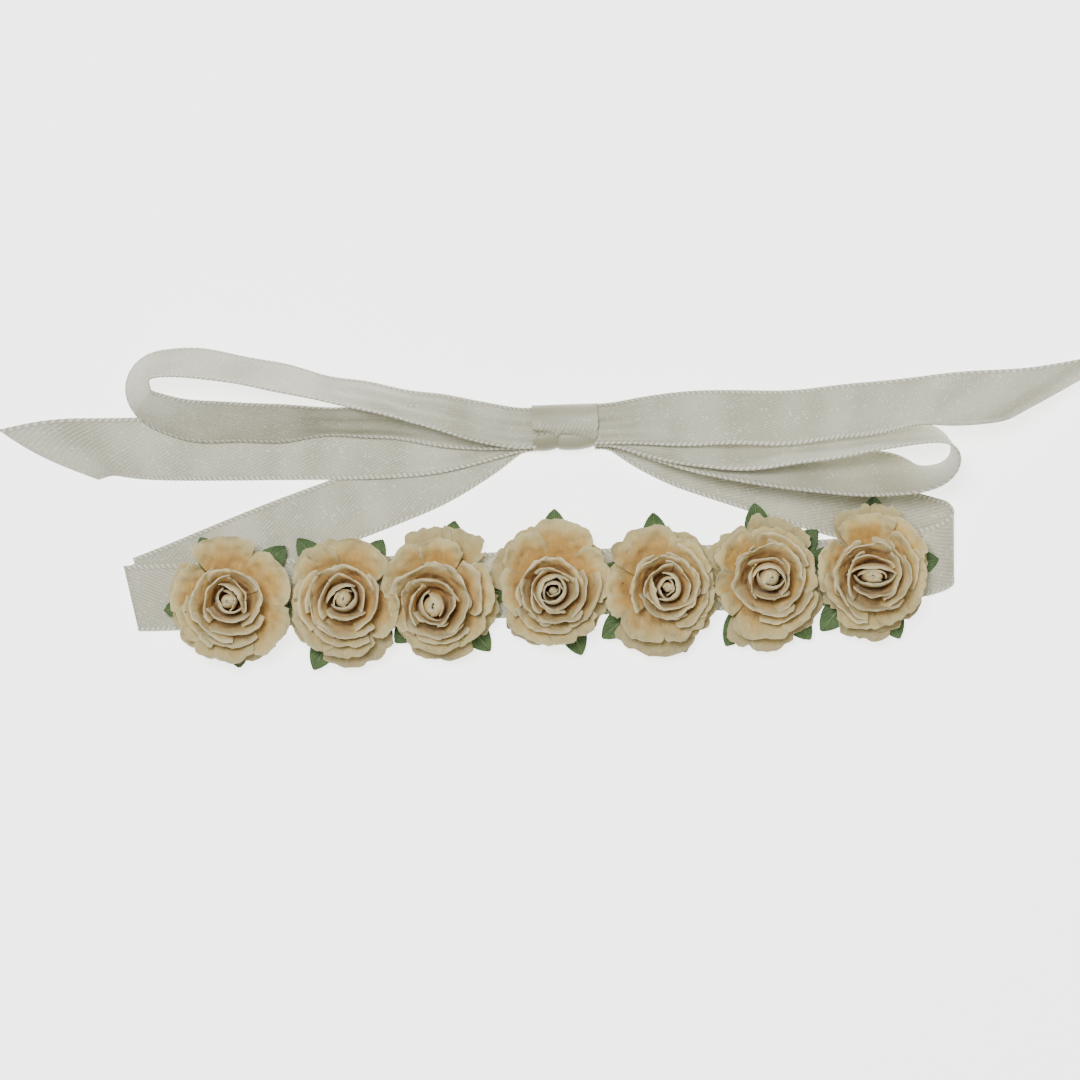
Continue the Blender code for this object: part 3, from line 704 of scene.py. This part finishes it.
def loops():
    """The two bow loops. Both bands stand on edge: the left one leans inwards all round, and the
    right one leans over towards the roses."""
    left = entry(-1, 2) + [
        (-13.5, 35.8, layer(2) - 0.4, 10, 0.64), (-23.0, 36.8, deck(2) + 1.0, 30, 0.67),
        (-34.0, 38.0, deck(2) + 0.3, 50, 0.73), (-44.5, 38.3, deck(2) + 0.1, 62, 0.83),
        (-58.5, 38.6, deck(1) + 0.5, 58), (-74.0, 39.4, deck(1) + 0.3, 54),
        (-84.5, 41.6, deck(1) + 0.2, 56), (-89.6, 44.6, deck(1) + 0.2, 60),
        (-90.0, 49.6, deck(1) + 0.2, 62), (-86.0, 52.9, deck(1) + 0.1, 62),
        (-79.0, 53.2, deck(1) + 0.1, 62),
        (-68.7, 51.4, deck(1) + 0.1, 62), (-56.5, 48.6, deck(1) + 0.2, 64),
        (-44.5, 45.4, deck(2) + 0.4, 62, 0.9), (-34.0, 43.0, layer(2), 56, 0.8),
        (-23.0, 40.2, layer(3) + 0.7, 42, 0.7), (-13.5, 37.6, layer(3) + 1.2, 18, 0.64),
    ] + list(reversed(entry(-1, 3)))
    low, high = ribbon_edges(left)
    bend = hinge("left_tail", "left_loop", -1)
    place_ribbon("left_loop", low, high, None, "folded", bend, ripple=0.3, seed=7)
    right = entry(1, 2) + [
        (26.5, 33.4, layer(2) - 0.8, 16, 0.73), (37.0, 30.6, deck(1) + 1.1, 36, 0.87),
        (50.0, 28.9, deck(0) + 0.7, 52), (64.0, 29.3, deck(0) + 0.5, 60),
        (76.0, 31.0, deck(0) + 0.5, 62), (86.0, 31.6, deck(0) + 0.5, 68),
        (93.4, 29.8, deck(0) + 0.5, 80), (95.6, 26.4, deck(0) + 0.5, 90),
        (93.0, 22.4, deck(0) + 0.5, 104), (86.4, 20.5, deck(0) + 0.5, 116),
        (81.0, 22.2, deck(0) + 0.4, 134), (74.0, 22.7, deck(0) + 0.3, 134),
        (64.0, 23.4, deck(0) + 0.2, 130),
        (50.0, 25.8, deck(1) - 0.2, 136, 0.93), (37.0, 29.2, deck(1) + 0.2, 148, 0.8),
        (26.5, 32.6, deck(2) + 0.2, 168, 0.67),
    ] + list(reversed(entry(1, 1, lean=180.0)))
    low, high = ribbon_edges(right)
    bend = hinge("crown", "right_loop", 1)
    place_ribbon("right_loop", low, high, None, "folded", bend, ripple=0.3, seed=8)


def hinge(parent, child, side):
    """The names of a parent body and a strand's own body, and the ends of the stretch beside the knot where
    the strand lifts.
    """
    face = KNOT_LOW.x if side < 0 else KNOT_HIGH.x
    start = Vector((face, KNOT_MIDDLE.y, 0.0)) * MM
    end = Vector((face + side * HINGE_LONG, KNOT_MIDDLE.y, 0.0)) * MM
    return parent, child, start, end


def bell(value, middle, width):
    """1 at the middle, falling to 0 on both sides."""
    return math.exp(-((value - middle) / width) ** 2)


def knot_turn():
    """The turn round the crossed layers: smooth above, puckered below where its edge rides up from a
    notch. The tones mark the smooth part."""
    rows, columns = 132, 110
    corner = 0.75                # below 1 the section is boxier than an ellipse
    inset = 0.4                  # how much smaller the turn is than the CAD's
    notch_at, notch_wide = -0.28, 0.10
    rise = 3.5                   # how far the puckered edge rides up
    folds, fold_high = 8.0, 0.14
    grid = np.zeros((rows, columns, 3))
    tones = np.zeros((rows, columns))
    for i in range(rows):
        angle = 2.0 * math.pi * i / rows
        c, s = math.cos(angle), math.sin(angle)
        y0 = math.copysign(abs(c) ** corner, c)
        z0 = math.copysign(abs(s) ** corner, s)
        front = max(0.0, -y0)
        upper = min(max(0.0, z0 + 0.7), 1.0)
        for j in range(columns):
            v = 2.0 * j / (columns - 1) - 1.0
            off = v - notch_at
            left, right = max(0.0, -off), max(0.0, off)
            notch = bell(off, 0.0, notch_wide)
            short = rise + 1.2 * left - 1.3 * right - 1.3 * notch
            y = 0.5 * (KNOT_SIZE.y - inset) * y0 + short * front * upper
            z = 0.5 * (KNOT_SIZE.z - inset) * z0
            spread = 0.9 if off < 0.0 else 0.4
            fan = math.sin(2.0 * math.pi * (folds * off + spread * y))
            z += upper * front * (fold_high * fan - 0.5 * notch)
            x = 0.5 * KNOT_SIZE.x * v * (1.0 - 0.08 * front)
            grid[i, j] = (x, y, z)
            tones[i, j] = min(max((y - 0.5 - 2.2 * abs(off)) / 1.2 + 0.8, 0.0), 1.0)
    return grid + np.array(KNOT_MIDDLE), tones


def knot_tuck(start, end, radius, depth):
    """A small smooth fold of the same ribbon that shows below the knot, from x start to x end."""
    rows, columns = 40, 24
    first, turn = -60.0, 200.0   # degrees round the fold
    oval = 1.15
    grid = np.zeros((rows, columns, 3))
    for i in range(rows):
        angle = math.radians(first + turn * i / (rows - 1))
        for j in range(columns):
            v = j / (columns - 1)
            swell = radius * math.sin(math.pi * (0.14 + 0.74 * v)) ** 0.2
            x = start + (end - start) * v
            y = KNOT_LOW.y + oval * radius - oval * swell * math.sin(angle) + 0.7 * v * v
            z = KNOT_HIGH.z - depth - radius + swell * math.cos(angle)
            grid[i, j] = (x, y, z)
    # The tone takes the weave away and paints shade on this fold under the knot.
    return grid, TUCK_SHADE_TONE


def knot():
    """The turn and its two tucked folds, which are one piece of ribbon."""
    bundle = Bundle()
    wide = KNOT_SIZE.x
    middle = KNOT_MIDDLE.x
    plain = 1.2                  # the selvedge at each edge, which these parts don't show
    length = 0.0
    parts = [
        (knot_turn(), True),
        (knot_tuck(middle - 1.6, middle + 7.3, 2.5, 1.10), False),
        (knot_tuck(middle - 7.4, middle - 0.9, 2.3, 1.15), False),
    ]
    for (grid, tones), wrap in parts:
        rows, columns = grid.shape[:2]
        along = lengths_along(grid[:, columns // 2])
        span = float(np.linalg.norm(grid[rows // 2, -1] - grid[rows // 2, 0]))
        across = np.linspace(plain, plain + min(span, RIBBON_WIDTH - 2.0 * plain), columns)
        bundle.add(grid, RIBBON_THICK, uv_grid(length + along, across) * MM, tones, wrap)
        length += float(along[-1]) * span / wide
    obj = bundle.mesh("knot_wrap_ribbon", SATIN)
    stand_for(obj, "knot_wrap")


def knot_layers():
    """The layers of ribbon that cross inside the knot, pleated together."""
    box_low, box_high = (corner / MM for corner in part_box("knot_core"))
    count = 4
    rows, columns = 24, 41
    pleat_high = 0.60
    front, back = 2.6, 0.2       # kept free inside the CAD box
    x = np.linspace(box_low.x, box_high.x, rows)
    y = np.linspace(box_low.y + front, box_high.y - back, columns)
    across = np.linspace(0.0, 1.0, columns)
    pleats = pleat_high * np.sin(4.0 * math.pi * PLEATS * across)
    bundle = Bundle()
    for number in range(count):
        grid = np.zeros((rows, columns, 3))
        grid[:, :, 0] = x[:, None]
        grid[:, :, 1] = y[None, :]
        grid[:, :, 2] = box_low.z + (number + 0.5) * (box_high.z - box_low.z) / count + pleats[None, :]
        bundle.add(grid, RIBBON_THICK, uv_grid(x, RIBBON_WIDTH * across) * MM)
    obj = bundle.mesh("knot_inner_layers", SATIN)
    stand_for(obj, "knot_core")


# ---- roses

# Each rose: where its heart sits off its middle, then its petals from the lowest ring to the bud, the
# radius of its rolled core, and its sepals. oval stretches the bud along X and Y.
# A petal is (direction, half its spread, reach): degrees from +X, degrees, millimetres.
# A sepal is (direction, reach).
ROSES = [
    {"heart": (0.2, 0.0),
     "low": [(160, 30, 14.4), (-148, 32, 14.2), (-62, 34, 15.2), (-10, 30, 13.4), (70, 30, 13.0)],
     "outer": [(94, 33, 14.8), (24, 38, 14.4), (-38, 30, 15.0), (-98, 36, 14.2),
               (-150, 26, 12.6), (162, 32, 13.6)],
     "collar": [(-150, 34, 11.2), (-92, 34, 11.0)],
     "middle": [(166, 40, 8.9), (-140, 42, 9.3), (-78, 40, 8.8), (-8, 44, 7.8), (76, 46, 7.4)],
     "inner": [(156, 62, 6.0), (-98, 56, 5.3), (28, 60, 4.9)],
     "bud": [(40, 80, 3.6), (-140, 110, 2.9), (20, 100, 2.1)], "core": 1.5,
     "sepals": [(113, 15.2), (43, 16.6), (-171, 14.8), (-87, 14.8), (-30, 13.5)]},
    {"heart": (0.2, 0.6),
     "low": [(122, 32, 15.0), (60, 28, 14.2), (-76, 40, 15.6), (-140, 32, 13.8), (180, 30, 12.6)],
     "outer": [(68, 38, 14.2), (128, 32, 13.6), (176, 30, 12.0), (-138, 34, 12.8),
               (-88, 34, 13.0), (-18, 38, 12.6)],
     "collar": [(176, 40, 10.8), (-100, 36, 11.0)],
     "middle": [(150, 38, 8.8), (-158, 40, 9.0), (-94, 38, 9.2), (-14, 46, 8.4), (66, 44, 8.0)],
     "inner": [(160, 54, 6.0), (-92, 50, 5.2), (34, 64, 5.3)],
     "bud": [(120, 74, 3.6), (-50, 110, 2.9), (130, 90, 2.2)], "core": 1.7,
     "sepals": [(124, 17.2), (56, 15.6), (-116, 16.6), (-176, 13.0), (-40, 13.0)]},
    {"heart": (-1.7, -2.4),
     "low": [(103, 28, 16.0), (66, 27, 16.2), (-30, 32, 13.8), (-97, 42, 15.6), (-150, 30, 13.4)],
     "outer": [(146, 38, 14.2), (88, 30, 12.6), (6, 38, 12.4), (-56, 32, 13.0),
               (-104, 34, 13.4), (-160, 30, 12.4)],
     "collar": [(14, 36, 10.8), (-86, 36, 10.6)],
     "middle": [(178, 44, 8.0), (112, 40, 10.2), (44, 42, 9.6), (-18, 42, 8.4), (-92, 46, 8.0)],
     "inner": [(168, 52, 5.6), (70, 54, 6.2), (-20, 52, 5.2), (-106, 48, 4.8)],
     "bud": [(200, 100, 3.3), (30, 90, 2.7)], "core": 2.2,
     "sepals": [(79, 16.2), (-51, 16.4), (2, 14.8), (150, 13.5), (-135, 14.6)]},
    {"heart": (0.0, -1.2),
     "low": [(126, 30, 14.6), (160, 28, 15.0), (-42, 32, 13.8), (-112, 34, 14.6), (30, 30, 13.4)],
     "outer": [(76, 34, 15.0), (128, 30, 13.4), (-172, 32, 12.2), (-118, 34, 14.0),
               (-66, 32, 13.8), (14, 38, 13.2)],
     "collar": [(-26, 38, 11.2), (-110, 38, 11.0)],
     "middle": [(150, 42, 8.4), (-150, 42, 8.2), (-88, 40, 8.4), (-20, 42, 8.2), (58, 46, 7.8)],
     "inner": [(170, 60, 5.6), (70, 56, 5.4), (-40, 60, 5.4), (-120, 50, 5.0)],
     "bud": [(150, 120, 3.9), (-30, 120, 3.1), (120, 120, 2.3), (-60, 110, 1.5)], "core": 0.8,
     "sepals": [(86, 16.6), (-68, 16.6), (9, 13.8), (160, 13.5), (-140, 13.6)]},
    {"heart": (1.5, 0.3),
     "low": [(52, 30, 14.4), (16, 28, 13.6), (-36, 30, 14.0), (-97, 44, 15.9), (170, 28, 12.8)],
     "outer": [(110, 40, 14.6), (46, 32, 13.0), (-10, 30, 12.6), (-58, 31, 12.8),
               (-118, 31, 12.8), (-176, 30, 12.8)],
     "collar": [(30, 36, 11.0), (-34, 34, 10.8)],
     "middle": [(164, 42, 9.0), (100, 40, 7.8), (36, 44, 7.8), (-28, 42, 7.4), (-112, 44, 7.4)],
     "inner": [(-96, 64, 5.7), (24, 60, 5.6), (140, 56, 5.4)],
     "bud": [(196, 64, 4.4), (-10, 120, 3.1), (160, 110, 2.4), (0, 100, 1.7)], "core": 1.0,
     "sepals": [(92, 16.6), (-142, 16.6), (-68, 15.0), (20, 13.4), (158, 13.6)]},
    {"heart": (0.7, 0.6),
     "low": [(88, 22, 15.2), (56, 22, 14.8), (136, 30, 14.4), (-40, 32, 14.6),
             (-98, 38, 16.4), (180, 28, 12.2)],
     "outer": [(70, 36, 12.6), (134, 32, 13.0), (14, 34, 11.8), (-42, 32, 13.2),
               (-98, 34, 13.8), (-166, 32, 11.6)],
     "collar": [(60, 38, 10.8), (-60, 38, 10.8)],
     "middle": [(168, 42, 8.9), (106, 40, 8.4), (38, 42, 8.4), (-30, 42, 8.4), (-108, 46, 8.8)],
     "inner": [(178, 48, 5.2), (88, 50, 5.2), (-2, 50, 5.0), (-92, 48, 5.2)],
     "bud": [(80, 110, 3.5), (-110, 100, 2.8)], "core": 1.9,
     "sepals": [(94, 17.0), (40, 16.0), (-53, 16.4), (-123, 16.6), (176, 13.2)]},
    {"heart": (0.0, -0.9),
     "low": [(108, 24, 15.2), (78, 24, 16.0), (22, 30, 13.8), (-58, 32, 14.4),
             (-98, 32, 15.8), (-160, 28, 12.6)],
     "outer": [(94, 34, 13.6), (48, 32, 14.2), (-4, 32, 12.8), (-54, 32, 13.0),
               (-106, 32, 13.4), (168, 34, 12.6)],
     "collar": [(-140, 38, 11.6), (20, 38, 11.2)],
     "middle": [(158, 40, 9.2), (-150, 40, 9.6), (-92, 42, 8.8), (-24, 44, 8.6),
                (40, 38, 8.8), (98, 40, 8.2)],
     "inner": [(168, 52, 6.6), (82, 54, 5.4), (-8, 52, 6.4), (-92, 54, 5.4)],
     "bud": [(90, 84, 3.7), (-90, 100, 3.1), (80, 100, 2.2)], "core": 1.6, "oval": (1.35, 0.80),
     "sepals": [(86, 16.6), (10, 15.4), (-130, 16.6), (-67, 16.0), (160, 13.2)]},
]

# The way up each ring of petals: (share of the reach, height) from the base to the lip, in millimetres.
RISES = {
    "low": [(0.08, 0.3), (0.40, 0.9), (0.72, 1.9), (0.93, 2.5), (1.0, 2.3)],
    "outer": [(0.08, 0.8), (0.34, 1.9), (0.64, 4.3), (0.86, 6.2), (0.96, 6.6), (1.0, 6.3)],
    "collar": [(0.10, 1.1), (0.44, 2.9), (0.72, 5.8), (0.88, 8.2), (0.95, 8.9), (1.0, 8.8)],
    "middle": [(0.12, 1.5), (0.46, 3.6), (0.71, 7.2), (0.86, 9.7), (0.94, 10.6), (1.0, 10.6)],
    "inner": [(0.20, 2.6), (0.55, 5.2), (0.76, 8.8), (0.87, 11.2), (0.94, 12.2), (1.0, 12.4)],
    "bud": [(0.60, 5.0), (0.92, 7.6), (1.02, 9.8), (1.0, 11.4), (0.90, 12.5), (0.72, 13.0)],
    "core": [(0.85, 5.0), (1.05, 8.0), (1.05, 11.0), (0.92, 12.4), (0.60, 13.2), (0.04, 13.5)],
}


def wrinkle(x, y, z):
    """Smooth noise between about -1 and 1."""
    return noise.noise(Vector((x, y, z)))


def petal_grid(direction, spread, reach, rise, rng, style):
    """The middle surface of one petal round the rose's axis, with its scalloped rim and creases.

    s runs from -1 to 1 across the petal, and t from 0 at its foot to 1 at the lip.
    """
    profile = smooth_path([(share * reach, height, 0.0) for share, height in rise], 10)
    steps = np.linspace(0.0, 1.0, len(profile))
    seed = rng.uniform(0.0, 100.0)
    tilt = style["tilt"] * rng.choice((-1.0, 1.0)) * rng.uniform(0.6, 1.3)
    notch = style["notch"] * rng.uniform(0.4, 1.3)
    notch_at = rng.uniform(-0.25, 0.25)
    crease = style["crease"] * rng.uniform(0.2, 1.2)
    crease_at = rng.uniform(-0.35, 0.35)
    lift = rng.uniform(-0.4, 0.4) * style["loose"]
    grid = np.zeros((PETAL_ROWS + 1, PETAL_COLUMNS + 1, 3))
    uv = np.zeros((PETAL_ROWS + 1, PETAL_COLUMNS + 1, 2))
    for j in range(PETAL_COLUMNS + 1):
        s = 2.0 * j / PETAL_COLUMNS - 1.0
        scallop = 0.45 + 1.5 * wrinkle(s * 3.6, seed, 0.0) + 0.35 * wrinkle(s * 11.0, seed, 3.0)
        full = 1.0 - style["round"] * abs(s) ** style["corner"] - notch * bell(s, notch_at, NOTCH_WIDE)
        full -= style["scallop"] * max(scallop, 0.0)
        fold = crease * bell(s, crease_at, CREASE_WIDE)
        for i in range(PETAL_ROWS + 1):
            share = i / PETAL_ROWS
            t = min(share * full, 1.0)
            radius = float(np.interp(t, steps, profile[:, 0]))
            radius *= 1.0 + style["flat"] * (s * s - 0.4) * t + style["spiral"] * s
            radius += t * style["loose"] * 0.5 * wrinkle(s * 1.8, t * 1.5, seed + 20.0)
            ripple = wrinkle(s * 2.2, t * 2.4, seed) + 0.3 * wrinkle(s * 6.0, t * 5.0, seed + 9.0)
            height = float(np.interp(t, steps, profile[:, 1]))
            height += t * t * style["wave"] * ripple
            height += t * (tilt * s + style["cup"] * s * s + lift - fold)
            height += t * 0.5 * abs(wrinkle(s * 3.6, t * 3.2, seed + 40.0))
            half = math.radians(spread) * (1.0 - style["taper"] * max(0.0, share - 0.55) ** 2)
            angle = math.radians(direction) + s * half
            grid[i, j] = (radius * math.cos(angle), radius * math.sin(angle), height)
            uv[i, j] = (0.5 * s + 0.5, share)
    return grid, uv


# How the petals of each ring are shaped. In millimetres: tilt, crease, loose, wave and cup. As shares of
# the petal: notch, scallop and round, which cut its outline back, flat, spiral, taper and widen. corner is
# a power, and the outline is rounder where it is lower.
STYLES = {
    "low": dict(tilt=0.35, notch=0.12, crease=0.6, loose=0.9, scallop=0.17, round=0.30, flat=0.0,
                spiral=0.0, wave=1.6, cup=0.3, taper=0.35, widen=1.0, corner=2.8),
    "outer": dict(tilt=0.9, notch=0.08, crease=0.9, loose=1.5, scallop=0.17, round=0.26, flat=0.0,
                  spiral=0.0, wave=2.4, cup=0.5, taper=0.30, widen=1.0, corner=2.8),
    "collar": dict(tilt=1.1, notch=0.05, crease=0.7, loose=1.7, scallop=0.13, round=0.30, flat=0.08,
                   spiral=0.04, wave=2.2, cup=-1.2, taper=0.15, widen=1.15, corner=2.2),
    "middle": dict(tilt=1.0, notch=0.03, crease=0.6, loose=1.9, scallop=0.12, round=0.30, flat=0.20,
                   spiral=0.06, wave=2.6, cup=-1.6, taper=0.10, widen=1.30, corner=2.2),
    "inner": dict(tilt=0.9, notch=0.0, crease=0.4, loose=1.4, scallop=0.09, round=0.24, flat=0.28,
                  spiral=0.08, wave=1.6, cup=-1.6, taper=0.0, widen=1.15, corner=2.2),
    "bud": dict(tilt=0.9, notch=0.0, crease=0.0, loose=0.8, scallop=0.09, round=0.24, flat=0.36,
                spiral=0.06, wave=1.1, cup=-1.2, taper=0.0, widen=1.0, corner=2.8),
    "core": dict(tilt=0.5, notch=0.0, crease=0.0, loose=0.3, scallop=0.05, round=0.10, flat=0.34,
                 spiral=0.05, wave=0.6, cup=-0.4, taper=0.0, widen=1.0, corner=2.8),
}


def add_petals(bundle, petal_list, ring, origin, heart, rng, oval=(1.0, 1.0)):
    """Adds one ring of petals. A higher tone is a darker petal: by a random amount, and by painted shade on
    the lowest ring and on petals facing -Y.
    """
    style = STYLES[ring]
    for direction, spread, reach in petal_list:
        grid, uv = petal_grid(direction, spread * style["widen"], reach, RISES[ring], rng, style)
        grid[:, :, 0] = grid[:, :, 0] * oval[0] + origin.x + heart[0]
        grid[:, :, 1] = grid[:, :, 1] * oval[1] + origin.y + heart[1]
        grid[:, :, 2] += origin.z
        # A random tone, with painted shade added to the lowest ring, which lies under the others.
        tone = rng.uniform(0.0, 0.35) + (0.45 if ring == "low" else 0.0)
        # Painted shade on petals that face -Y, away from the light.
        tone += 0.45 * max(0.0, -math.sin(math.radians(direction)))
        bundle.add(grid, PAPER_THICK, uv, tone)


def sepals(name, leaf_list, origin, rng):
    """Five pointed leaves under the petals. s runs across a leaf, and t from its foot to its tip."""
    rows, columns = 16, 10
    foot = 1.2                   # where a leaf starts, which is also the half width of its stalk
    stalk = 0.35                 # share of the length that the stalk takes
    widest, blunt = 3.0, 0.12
    past_reach = 0.7
    bundle = Bundle()
    for direction, reach in leaf_list:
        grid = np.zeros((rows + 1, columns + 1, 3))
        uv = np.zeros((rows + 1, columns + 1, 2))
        droop = rng.uniform(0.0, 0.5)
        twist = rng.uniform(-0.5, 0.5)
        curl = rng.uniform(-0.6, 0.6)
        angle = math.radians(direction)
        for i in range(rows + 1):
            t = i / rows
            wide = widest * max(math.sin(math.pi * t ** 1.5), 0.0) ** 0.75 + blunt
            if t < stalk:
                wide = max(wide, foot)
            length = foot + (reach + past_reach - foot) * t
            for j in range(columns + 1):
                s = 2.0 * j / columns - 1.0
                side = s * wide + curl * t * t
                height = 0.9 * t - droop * t * t + twist * s * t + 0.35 * abs(s) * math.sin(math.pi * t)
                grid[i, j] = (length * math.cos(angle) - side * math.sin(angle),
                              length * math.sin(angle) + side * math.cos(angle), height)
                uv[i, j] = (s, t)
        bundle.add(grid + np.array(origin), LEAF_THICK, uv)
    return bundle.mesh(name, LEAF)


def stem(name, foot, head):
    """The wire that the petals are threaded on, leaning to the rose's heart."""
    sides = 12
    points = []
    for centre in (foot, head):
        for k in range(sides):
            angle = 2.0 * math.pi * k / sides
            points.append(centre + STEM_RADIUS * Vector((math.cos(angle), math.sin(angle), 0.0)))
    faces = [(k, (k + 1) % sides, sides + (k + 1) % sides, sides + k) for k in range(sides)]
    faces += [tuple(reversed(range(sides))), tuple(range(sides, 2 * sides))]
    return make_mesh(name, points, faces, WIRE)


def rose(number):
    """One rose on its glue pad: wire, sepals, three whorls of petals and the rolled bud."""
    plan = ROSES[number]
    title = "rose_%d_" % (number + 1)
    rng = random.Random(100 + number)
    pad_low, pad_high = (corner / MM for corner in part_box(title + "glue_pad"))
    middle = 0.5 * (pad_low + pad_high)
    leaf_foot = Vector((middle.x, middle.y, pad_high.z + LEAF_FOOT))
    foot = Vector((middle.x, middle.y, pad_high.z + PETAL_FOOT))
    none = (0.0, 0.0)
    heart = plan["heart"]
    part_way = (0.4 * heart[0], 0.4 * heart[1])
    oval = plan.get("oval", (1.0, 1.0))

    leaves = sepals(title + "sepals", plan["sepals"], leaf_foot, rng)
    wide, cupped, inner, bud = Bundle(), Bundle(), Bundle(), Bundle()
    add_petals(wide, plan["low"], "low", foot, none, rng)
    add_petals(wide, plan["outer"], "outer", foot, none, rng)
    add_petals(cupped, plan["collar"], "collar", foot, part_way, rng)
    add_petals(cupped, plan["middle"], "middle", foot, heart, rng)
    add_petals(inner, plan["inner"], "inner", foot, heart, rng)
    add_petals(bud, plan["bud"], "bud", foot, heart, rng, oval)
    turn = rng.uniform(0.0, 360.0)
    rolls = [(turn, 104, 1.10 * plan["core"]), (turn + 165.0, 112, 0.92 * plan["core"])]
    add_petals(bud, rolls, "core", foot, heart, rng, oval)

    wire_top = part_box(title + "wire")[1].z / MM
    wire = stem(title + "stem", leaf_foot, Vector((middle.x + heart[0], middle.y + heart[1], wire_top)))
    pieces = [
        (wire, "wire", "wrapped_wire"),
        (leaves, "calyx", "leaf_paper"),
        (wide.mesh(title + "wide_petals", OUTER_PAPER), "outer_petals", "petal_paper"),
        (cupped.mesh(title + "cupped_petals", INNER_PAPER), "middle_petals", "petal_paper"),
        (inner.mesh(title + "heart_petals", INNER_PAPER), "inner_petals", "petal_paper"),
        (bud.mesh(title + "rolled_bud", BUD_PAPER), "bud", "bud_paper"),
    ]
    for piece, node, slot in pieces:
        stand_for(piece, title + node)


def dress_frame_nodes():
    """Materials for the CAD nodes that stay in view."""
    glue = glue_material()
    for name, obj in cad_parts.items():
        if name.endswith("_wire"):
            finish = WIRE
        elif name.endswith("_glue_pad"):
            finish = glue
        else:
            finish = SATIN
        obj.data.materials.clear()
        obj.data.materials.append(finish)


# ---- stage

def floor():
    """A plain pale table top."""
    half = 3.0
    mesh = bpy.data.meshes.new("floor")
    mesh.from_pydata([(-half, -half, 0.0), (half, -half, 0.0), (half, half, 0.0), (-half, half, 0.0)], [],
                     [(0, 1, 2, 3)])
    g = Graph("pale_table")
    cloud = g.noise(g.coordinates(), 2.0, 2.0)
    color = g.mix(cloud, rgb(0.93, 0.93, 0.93), rgb(0.95, 0.95, 0.95))
    mesh.materials.append(g.finish(Base_Color=color, Roughness=0.9, Specular_IOR_Level=0.1,
                                   Emission_Color=rgb(1.0, 1.0, 1.0), Emission_Strength=2.6))
    show("floor", mesh)


def area_light(name, place, aim, size, power):
    light = bpy.data.lights.new(name, "AREA")
    light.shape = "SQUARE"
    light.size = size
    light.energy = power
    obj = show(name, light)
    obj.location = place
    obj.rotation_euler = (Vector(aim) - Vector(place)).to_track_quat("-Z", "Y").to_euler()


def stage():
    """Soft light, mostly from beyond the bow, and the camera straight above."""
    floor()
    world = bpy.data.worlds.new("soft_white")
    world.use_nodes = True
    world.node_tree.nodes["Background"].inputs["Color"].default_value = rgb(1.0, 1.0, 1.0)
    world.node_tree.nodes["Background"].inputs["Strength"].default_value = 0.28
    bpy.context.scene.world = world
    centre = (0.0, 0.01, 0.0)
    area_light("key", (-0.16, 0.24, 1.0), centre, 0.34, 12.4)
    area_light("fill", (0.5, -0.3, 0.9), centre, 0.8, 2.4)

    camera = bpy.data.cameras.new("camera")
    camera.sensor_width = 36.0
    camera.lens = 116.5
    camera.clip_end = 20.0
    obj = show("camera", camera)
    obj.location = (0.3 * MM, 10.0 * MM, 0.8)
    obj.rotation_euler = (0.0, 0.0, math.radians(-2.0))
    bpy.context.scene.camera = obj


def main():
    front_band()
    straps()
    tails()
    loops()
    knot()
    knot_layers()
    for number in range(ROSE_COUNT):
        rose(number)
    dress_frame_nodes()
    stage()


main()
